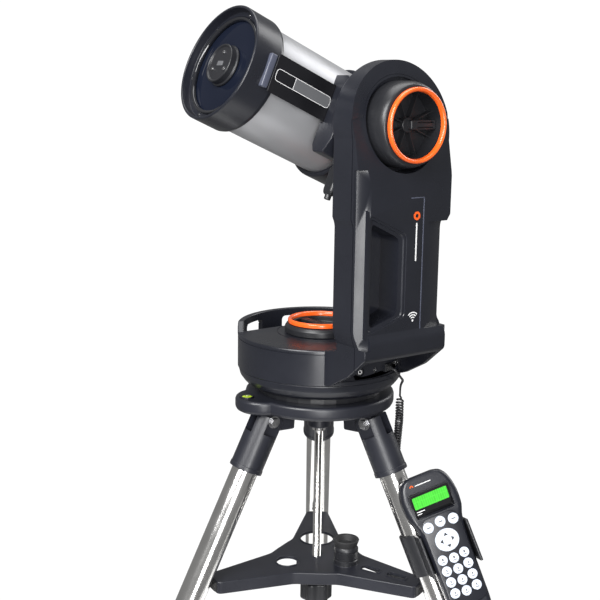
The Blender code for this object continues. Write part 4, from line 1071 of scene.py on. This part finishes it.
def make_tube():
    rail = front_prism([(79.4, -20), (85, -25), (85, 25), (79.4, 20)], -158, 84, 0.8)
    base = front_prism([(73.8, -17), (80, -20), (80, 20), (73.8, 17)], -142, 84)
    piece("rail", rail, "anodised", "optical_tube", TUBE, ["dovetail_rail"], joins=[base])
    make_rail_mark()
    piece("tube_shell", along_tube(ring(TUBE_R, TUBE_R - 1.5, -21.5, 151.7, 160, 0.3)), "silver",
          "optical_tube", TUBE, ["optical_tube"], smooth=30)
    cell = [(73.4, 143), (75.6, 143), (77.6, 145), (79, 149), (79, 188.4),
            (78.4, 189.6), (77.2, 190), (75.8, 190), (75.2, 189.3), (74.6, 178.5), (68, 178.5), (67.6, 180),
            (63, 180), (63, 176), (66.5, 176), (66.5, 171), (62, 171), (62, 167), (71, 152), (73.4, 152)]
    piece("front_cell_ring", along_tube(lathe(soft(cell, 0.6), 160)), "charcoal", "optical_tube", TUBE,
          ["front_cell"])
    retainer = [(62.6, 176.2), (67.4, 178), (67.4, 181), (65.8, 182), (63.2, 181), (62.4, 179)]
    piece("corrector_retainer", along_tube(lathe(retainer, 160, 0.6)), "gloss", "optical_tube", TUBE)
    screws = along_tube(round_about(lambda: screw(1.9, 178.4, 179.5), 6, 70.9, 15))
    piece("cell_screws", screws, "bolt", "optical_tube", TUBE)
    # the tab is drawn in the six times lighter charcoal copy, a painted highlight
    tab = front_prism(rounded(8, 44, 2.2, 6, (80, 0)), -168, -158.5, 1.6)
    piece("front_cell_tab", tab, "charcoal_painted_highlight", "optical_tube", TUBE)
    lens = lathe([(22.3, 171.4), (66.2, 171.4), (66.2, 175.4), (45, 175.6), (22.3, 175.4)], 160, 0.3)
    piece("corrector_lens", along_tube(lens), "corrector", "optical_tube", TUBE, ["corrector_plate"])
    make_secondary()


def make_rail_mark():
    """Plain two-part plate on the rail: an outlined half and a grey half."""
    face = Matrix(((0, 0, 1, 85), (1, 0, 0, 0), (0, 1, 0, 0), (0, 0, 0, 1)))
    outer = rounded(92, 16, 5, 8, (-108, 0))
    outline = frame_prism(outer, inset(outer, 0.6), -0.2, 0.15)
    divider = box((-123.4, -122.8), (-7.6, 7.6), (-0.2, 0.15))
    piece("rail_outline", moved(merged(outline, divider), face), "ink", "optical_tube", TUBE)
    half = [(-122.8, -7.5)] + [p for p in inset(outer, 0.5) if p[0] > -120] + [(-122.8, 7.5)]
    half = sorted(half, key=lambda p: math.atan2(p[1], p[0] + 90))
    piece("rail_plate", moved(prism(half, -0.2, 0.1), face), "grey_ink", "optical_tube", TUBE)


def make_secondary():
    holder = [(0, 158), (20, 158), (20, 163), (16, 164), (22, 165), (22, 176), (28, 176), (28.4, 177.4),
              (28, 178.8), (26.4, 179.4), (26.4, 187.2), (25.8, 188), (24.4, 188), (23.6, 187.3),
              (23, 185.6), (0, 185.6)]
    piece("secondary_holder", along_tube(lathe(soft(holder, 0.5, False), 128)), "black", "optical_tube",
          TUBE, ["secondary_cell"])
    screws = along_tube(round_about(lambda: screw(2.4, 185.4, 187.0), 3, 15.5, 90))
    piece("secondary_screws", screws, "bolt", "optical_tube", TUBE)
    label = along_tube(prism(rounded(13, 6.4, 1.2, 5, (0, 0)), 185.4, 186.1, (0, 0.2)))
    piece("secondary_label", label, "grey_ink", "optical_tube", TUBE)


def make_rear():
    cell = [(73.4, -8), (77.4, -8), (79.3, -9), (80, -11), (80, -40), (79.5, -41), (80, -42), (80, -66),
            (79, -69.5), (67.5, -84), (65, -85), (22.4, -85), (22.4, -79), (60, -79), (71, -68), (71, -22),
            (73.4, -22)]
    notch = box((73.5, 90), (0, 100), (-26, 26))
    piece("rear_cell_ring", along_tube(lathe(soft(cell, 0.8), 160)), "charcoal", "optical_tube", TUBE,
          ["rear_cell"], cuts=[notch])
    stem = disc(4, -5, -0.3, 32)
    grip = merged(fluted(12, 1.5, 8, -23, -3, 1.2), stem)
    piece("focus_grip", along_tube(grip, shift(38, 85, 32)), "rubber", "focus_knob", TUBE, ["focus_knob"])
    back = [(16.3, -85.3), (30, -85.3), (30, -89.6), (25, -92.8), (25, -95), (24.2, -96), (25, -97),
            (24.2, -98), (25, -99), (24.2, -100), (25, -101), (25, -104), (22, -106), (16.3, -106)]
    piece("visual_back_ring", along_tube(lathe(soft(back, 0.4), 96)), "anodised", "optical_tube", TUBE,
          ["visual_back"])
    turned = turn("Y", -48)
    foot = box((-16, 16), (22, 56), (80.6, 84), 0.8)
    body = moved(prism(rounded(24, 16, 5, 8), 8, 60, 2.2), turn("X", -90), shift(0, 0, 94))
    window = moved(ring(17, 14, -3, 3, 64, 0.8), FORWARD, shift(0, -6, 114))
    stalk = [box((-6, 6), (24, 54), (83, 90)), box((-5, 5), (-8, 12), (92, 99), 1)]
    parts = [moved(bm, turned) for bm in (body, window, *stalk)]
    piece("finder_body", moved(foot, turned), "black", "optical_tube", TUBE, ["finder"], joins=parts)
    pane = moved(disc(14.2, -0.8, 0.8, 64), FORWARD, shift(0, -6, 114), turned)
    piece("finder_pane", pane, "window", "optical_tube", TUBE)
    dial = moved(fluted(6, 0.5, 14, 0, 5, 0.6), shift(0, 46, 101.5), turned)
    piece("finder_dial", dial, "rubber", "optical_tube", TUBE)


def make_diagonal():
    tail = along_tube(lathe([(0, -140), (16, -140), (16, -90), (0, -90)], 96, 0.6))
    piece("diagonal_nose", tail, "steel", "diagonal", TUBE)
    outline = soft([(128, -19), (148, -19), (168, 4), (168, 21), (128, 21)], 3)
    top = moved(ring(19, 16.2, 18, 40, 96, 0.8), shift(0, EYEPIECE_Y, 0))
    bore = moved(disc(16.2, 20.5, 60, 96), shift(0, EYEPIECE_Y, 0))
    piece("diagonal_box", side_prism(outline, -19, 19, 1.6), "black", "diagonal", TUBE, ["star_diagonal"],
          joins=[top], cuts=[bore])
    plate = prism(rounded(30, 26, 5, 6), 0, 1.2, (0, 0.4))
    plate = moved(plate, turn("X", -45), shift(0, 158.6, -8.2))
    piece("diagonal_back_plate", plate, "anodised", "diagonal", TUBE)
    pin = merged(disc(2, 16, 24, 24), fluted(4.2, 0.5, 12, 24, 30, 0.5))
    pin = moved(pin, ALONG_X, shift(0, EYEPIECE_Y, 31))
    piece("diagonal_thumbscrew", pin, "bolt", "diagonal", TUBE)
    upright = shift(0, EYEPIECE_Y, 0)
    barrel = lathe([(0, 23), (15.9, 23), (15.9, 40.8), (0, 40.8)], 96, 0.6)
    piece("eyepiece_barrel", moved(barrel, upright), "steel", "diagonal", TUBE)
    body = [(0, 40.5), (19, 40.5), (19, 47)]
    for i in range(5):
        body += [(19, 48 + 2 * i), (18.2, 48.5 + 2 * i), (18.2, 49.5 + 2 * i)]
    body += [(19, 58.5), (19, 62), (16, 66), (16.4, 68), (19.8, 77.2), (19, 78), (16.2, 77.6), (12, 68),
             (0, 67)]
    body = lathe(soft(body, 0.3, False), 96)
    piece("eyepiece_body", moved(body, upright), "black", "diagonal", TUBE, ["eyepiece"])
    eye_lens = [(0, 66.8), (11.8, 66.8), (11.8, 67.9), (6, 69.2), (0, 69.6)]
    piece("eyepiece_lens", moved(lathe(eye_lens, 64), upright), "corrector", "diagonal", TUBE)


# ---- hand control -----------------------------------------------------------------------------
HC_STATIONS = ((0, 20, 12), (4, 29, 20), (14, 36, 25), (34, 40, 26), (HC_BEND, 38.5, 27), (72, 33.5, 28),
               (104, 30.5, 30), (160, 29.5, 28), (197, 28, 24), (HC_LENGTH, 23, 17))
MARKS_DOWN, WINDOW_DOWN, TRAY_DOWN = 12.0, 38.0, 122.0
KEY_ROW, PAD_ROW, NUMBER_ROW = 70.0, 94.0, 118.0


def hc_lean(down):
    """How far the face falls back above the bend."""
    return max(0.0, HC_BEND - down) * math.tan(math.radians(HC_BEND_ANGLE))


def hc_station(down):
    """(half width, thickness) at a distance down the case, on a smooth line through the stations."""
    rows = HC_STATIONS
    i = max(k for k in range(len(rows) - 1) if rows[k][0] <= down)
    before, low, high, after = (rows[min(max(k, 0), len(rows) - 1)] for k in (i - 1, i, i + 1, i + 2))
    span = high[0] - low[0]
    t = (down - low[0]) / span
    values = []
    for k in (1, 2):
        m0 = (high[k] - before[k]) / max(1e-6, high[0] - before[0]) * span
        m1 = (after[k] - low[k]) / max(1e-6, after[0] - low[0]) * span
        values.append((2 * t ** 3 - 3 * t ** 2 + 1) * low[k] + (t ** 3 - 2 * t ** 2 + t) * m0
                      + (3 * t ** 2 - 2 * t ** 3) * high[k] + (t ** 3 - t ** 2) * m1)
    return values


def hc_downs(first, last):
    downs = [first, first + 0.6, first + 1.6, first + 3]
    downs += [first + 5 + 4 * i for i in range(int((last - first - 9) / 4) + 1)]
    return downs + [last - 3, last - 1.6, last - 0.6, last]


def hc_rim(down, first, last, radius):
    """How far a rounded rim draws in near the two ends."""
    near = min(down - first, last - down)
    return radius - math.sqrt(max(0.0, radius ** 2 - (radius - near) ** 2)) if near < radius else 0.0


def make_case():
    sections = []
    for down in hc_downs(0.0, HC_LENGTH):
        half, thick = hc_station(down)
        rim = hc_rim(down, 0, HC_LENGTH, 3.0)
        outline = rounded(2 * (half - rim), thick - 2 * rim, min(7.5, thick / 2 - rim - 0.5), 8)
        sections.append([(x, HC_TOP - down, z - hc_lean(down) - thick / 2) for x, z in outline])
    display = (turn("X", HC_BEND_ANGLE), shift(0, HC_TOP - WINDOW_DOWN, -hc_lean(WINDOW_DOWN)))
    window = moved(prism(rounded(57, 33, 2.5, 6), -2, 10), *display)
    tray = prism(rounded(54, 129, 12, 8, (0, HC_TOP - TRAY_DOWN)), -2.4, 10)
    gland = moved(lathe([(0, -2), (5.5, -2), (5.5, 8), (0, 8)], 48, 0.8), turn("X", 90),
                  shift(0, HC_TOP - HC_LENGTH, -GLAND_DEPTH))
    piece("hand_control_shell", loft(sections), "charcoal", "hand_control", HAND, ["hand_control_case"],
          joins=[gland], cuts=[window, tray], smooth=40)
    face_lip = moved(frame_prism(rounded(60, 36, 3.5, 8), rounded(57, 33, 2.5, 8), -1.2, 0.35), *display)
    piece("window_lip", face_lip, "black", "hand_control", HAND)
    pane = moved(prism(rounded(56.4, 32.4, 2.3, 6), -1.8, -0.4, (0, 0.3)), *display)
    piece("display_window_pane", pane, "window", "hand_control", HAND, ["hand_control_screen"])
    glass = moved(prism(rounded(51, 17.5, 1.2, 5, (0, 4.2)), -0.5, -0.3), *display)
    piece("display_area", glass, "display", "hand_control", HAND)
    lines = [prism(rounded(w, 1.2, 0.5, 3, (-25 + w / 2, -8.6 - 3.4 * i)), -0.5, -0.3)
             for i, w in enumerate((12, 7))]
    marks = merged(*[moved(line, *display) for line in lines])
    piece("display_legend", marks, "ink", "hand_control", HAND)
    fall = -hc_lean(MARKS_DOWN)
    dot = moved(ring(2.7, 1.2, -0.3, 0.15, 32), turn("X", HC_BEND_ANGLE),
                shift(-19, HC_TOP - MARKS_DOWN, fall))
    piece("hand_control_dot", dot, "orange", "hand_control", HAND)
    line = moved(prism(rounded(24, 1.5, 0.7, 4), -0.3, 0.15), turn("X", HC_BEND_ANGLE),
                 shift(-2, HC_TOP - MARKS_DOWN, fall))
    piece("hand_control_line", line, "ink", "hand_control", HAND)


def key_places():
    """(x, y) of the three round keys under the display and of the twelve number keys."""
    top, numbers = [], []
    for column, drop in ((-1, 0.0), (0, 2.6), (1, 0.0)):
        top.append((18.5 * column, HC_TOP - KEY_ROW + drop))
        numbers += [(16.1 * column, HC_TOP - NUMBER_ROW - 15.8 * row - 0.8 * drop) for row in range(4)]
    return top, numbers


def make_keys():
    middle = (0, HC_TOP - TRAY_DOWN)
    mat = prism(rounded(53, 128, 11.5, 8, middle), -1.3, -0.3, (0, 0.4))
    piece("keypad_mat", mat, "charcoal", "keypad", HAND, ["hand_control_keypad"])
    top, numbers = key_places()
    keys = [prism(circle(7.4, 40, place), -0.6, 1.6, (0, 0.9), 4) for place in top]
    keys += [prism(circle(6.9, 40, place), -0.6, 1.6, (0, 0.9), 4) for place in numbers]
    piece("round_keys", merged(*keys), "keys", "keypad", HAND)
    centre = (0, HC_TOP - PAD_ROW)
    pad = prism([(1.1 * x, y) for x, y in circle(15.5, 72, centre)], -0.6, 2.0, (0, 1.2), 4)
    cross = [moved(box((-24, 24), (-0.7, 0.7), (1.0, 4)), turn("Z", a), shift(*centre)) for a in (42, -42)]
    piece("arrow_pad", pad, "keys", "keypad", HAND, cuts=cross)
    arrows = [moved(prism([(-3.2, 6.4), (3.2, 6.4), (0, 10.6)], 1.9, 2.08), turn("Z", 90 * i), shift(*centre))
              for i in range(4)]
    piece("arrow_marks", merged(*arrows), "black", "keypad", HAND)
    ticks = [prism(rounded(6.2, 1.5, 0.6, 3, place), 1.55, 1.68) for place in top]
    for index, (x, y) in enumerate(numbers):
        ticks.append(prism(rounded(1.5 if index % 4 else 2.4, 3.4, 0.6, 3, (x, y + 1.2)), 1.55, 1.68))
        ticks.append(prism(rounded(5.4, 1.0, 0.4, 3, (x, y - 2.6)), 1.55, 1.68))
    piece("key_marks", merged(*ticks), "grey_ink", "keypad", HAND)


def make_holder():
    top, low = HC_TOP - 78.0, HC_TOP - 138.0
    inside, outside, back = 33.0, 37.0, -30.5
    outline = [(-outside, 2), (-inside, 2), (-inside, back - 0.3), (inside, back - 0.3), (inside, 2),
               (outside, 2), (outside, back - 4), (-outside, back - 4)]
    cradle = moved(prism(soft(outline, 1.6, True, 6), -top, -low, 1.0), turn("X", 90))
    clip = prism(arc(LEG_R + 4, -70, 250, 97) + arc(LEG_R + 0.2, 250, -70, 97), low, top, 0.8)
    clip = moved(clip, turn("X", 90), shift(HC_LEG_X, top + low, HC_LEG_Z))
    web = box((HC_LEG_X - 6, HC_LEG_X + 16), (low, top), (HC_LEG_Z + LEG_R + 1, back - 2), 0.8)
    piece("holder_cradle", cradle, "black", "leg_3", HAND, ["hand_control_holder"], joins=[clip, web])


def finish_cad_nodes():
    """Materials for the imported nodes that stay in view."""
    looks = {"azimuth_base": "black", "altitude_axle": "bolt", "azimuth_motor": "bolt",
             "altitude_motor": "bolt", "battery_pack": "battery", "baffle_tube": "black",
             "primary_mirror": "mirror"}
    for name, look in looks.items():
        slots = frame["nodes"][name].data.materials
        slots.clear()
        slots.append(FINISHES[look])


make_arm()
make_saddle()
make_tube()
make_rear()
make_diagonal()
make_case()
make_keys()
make_holder()
finish_cad_nodes()
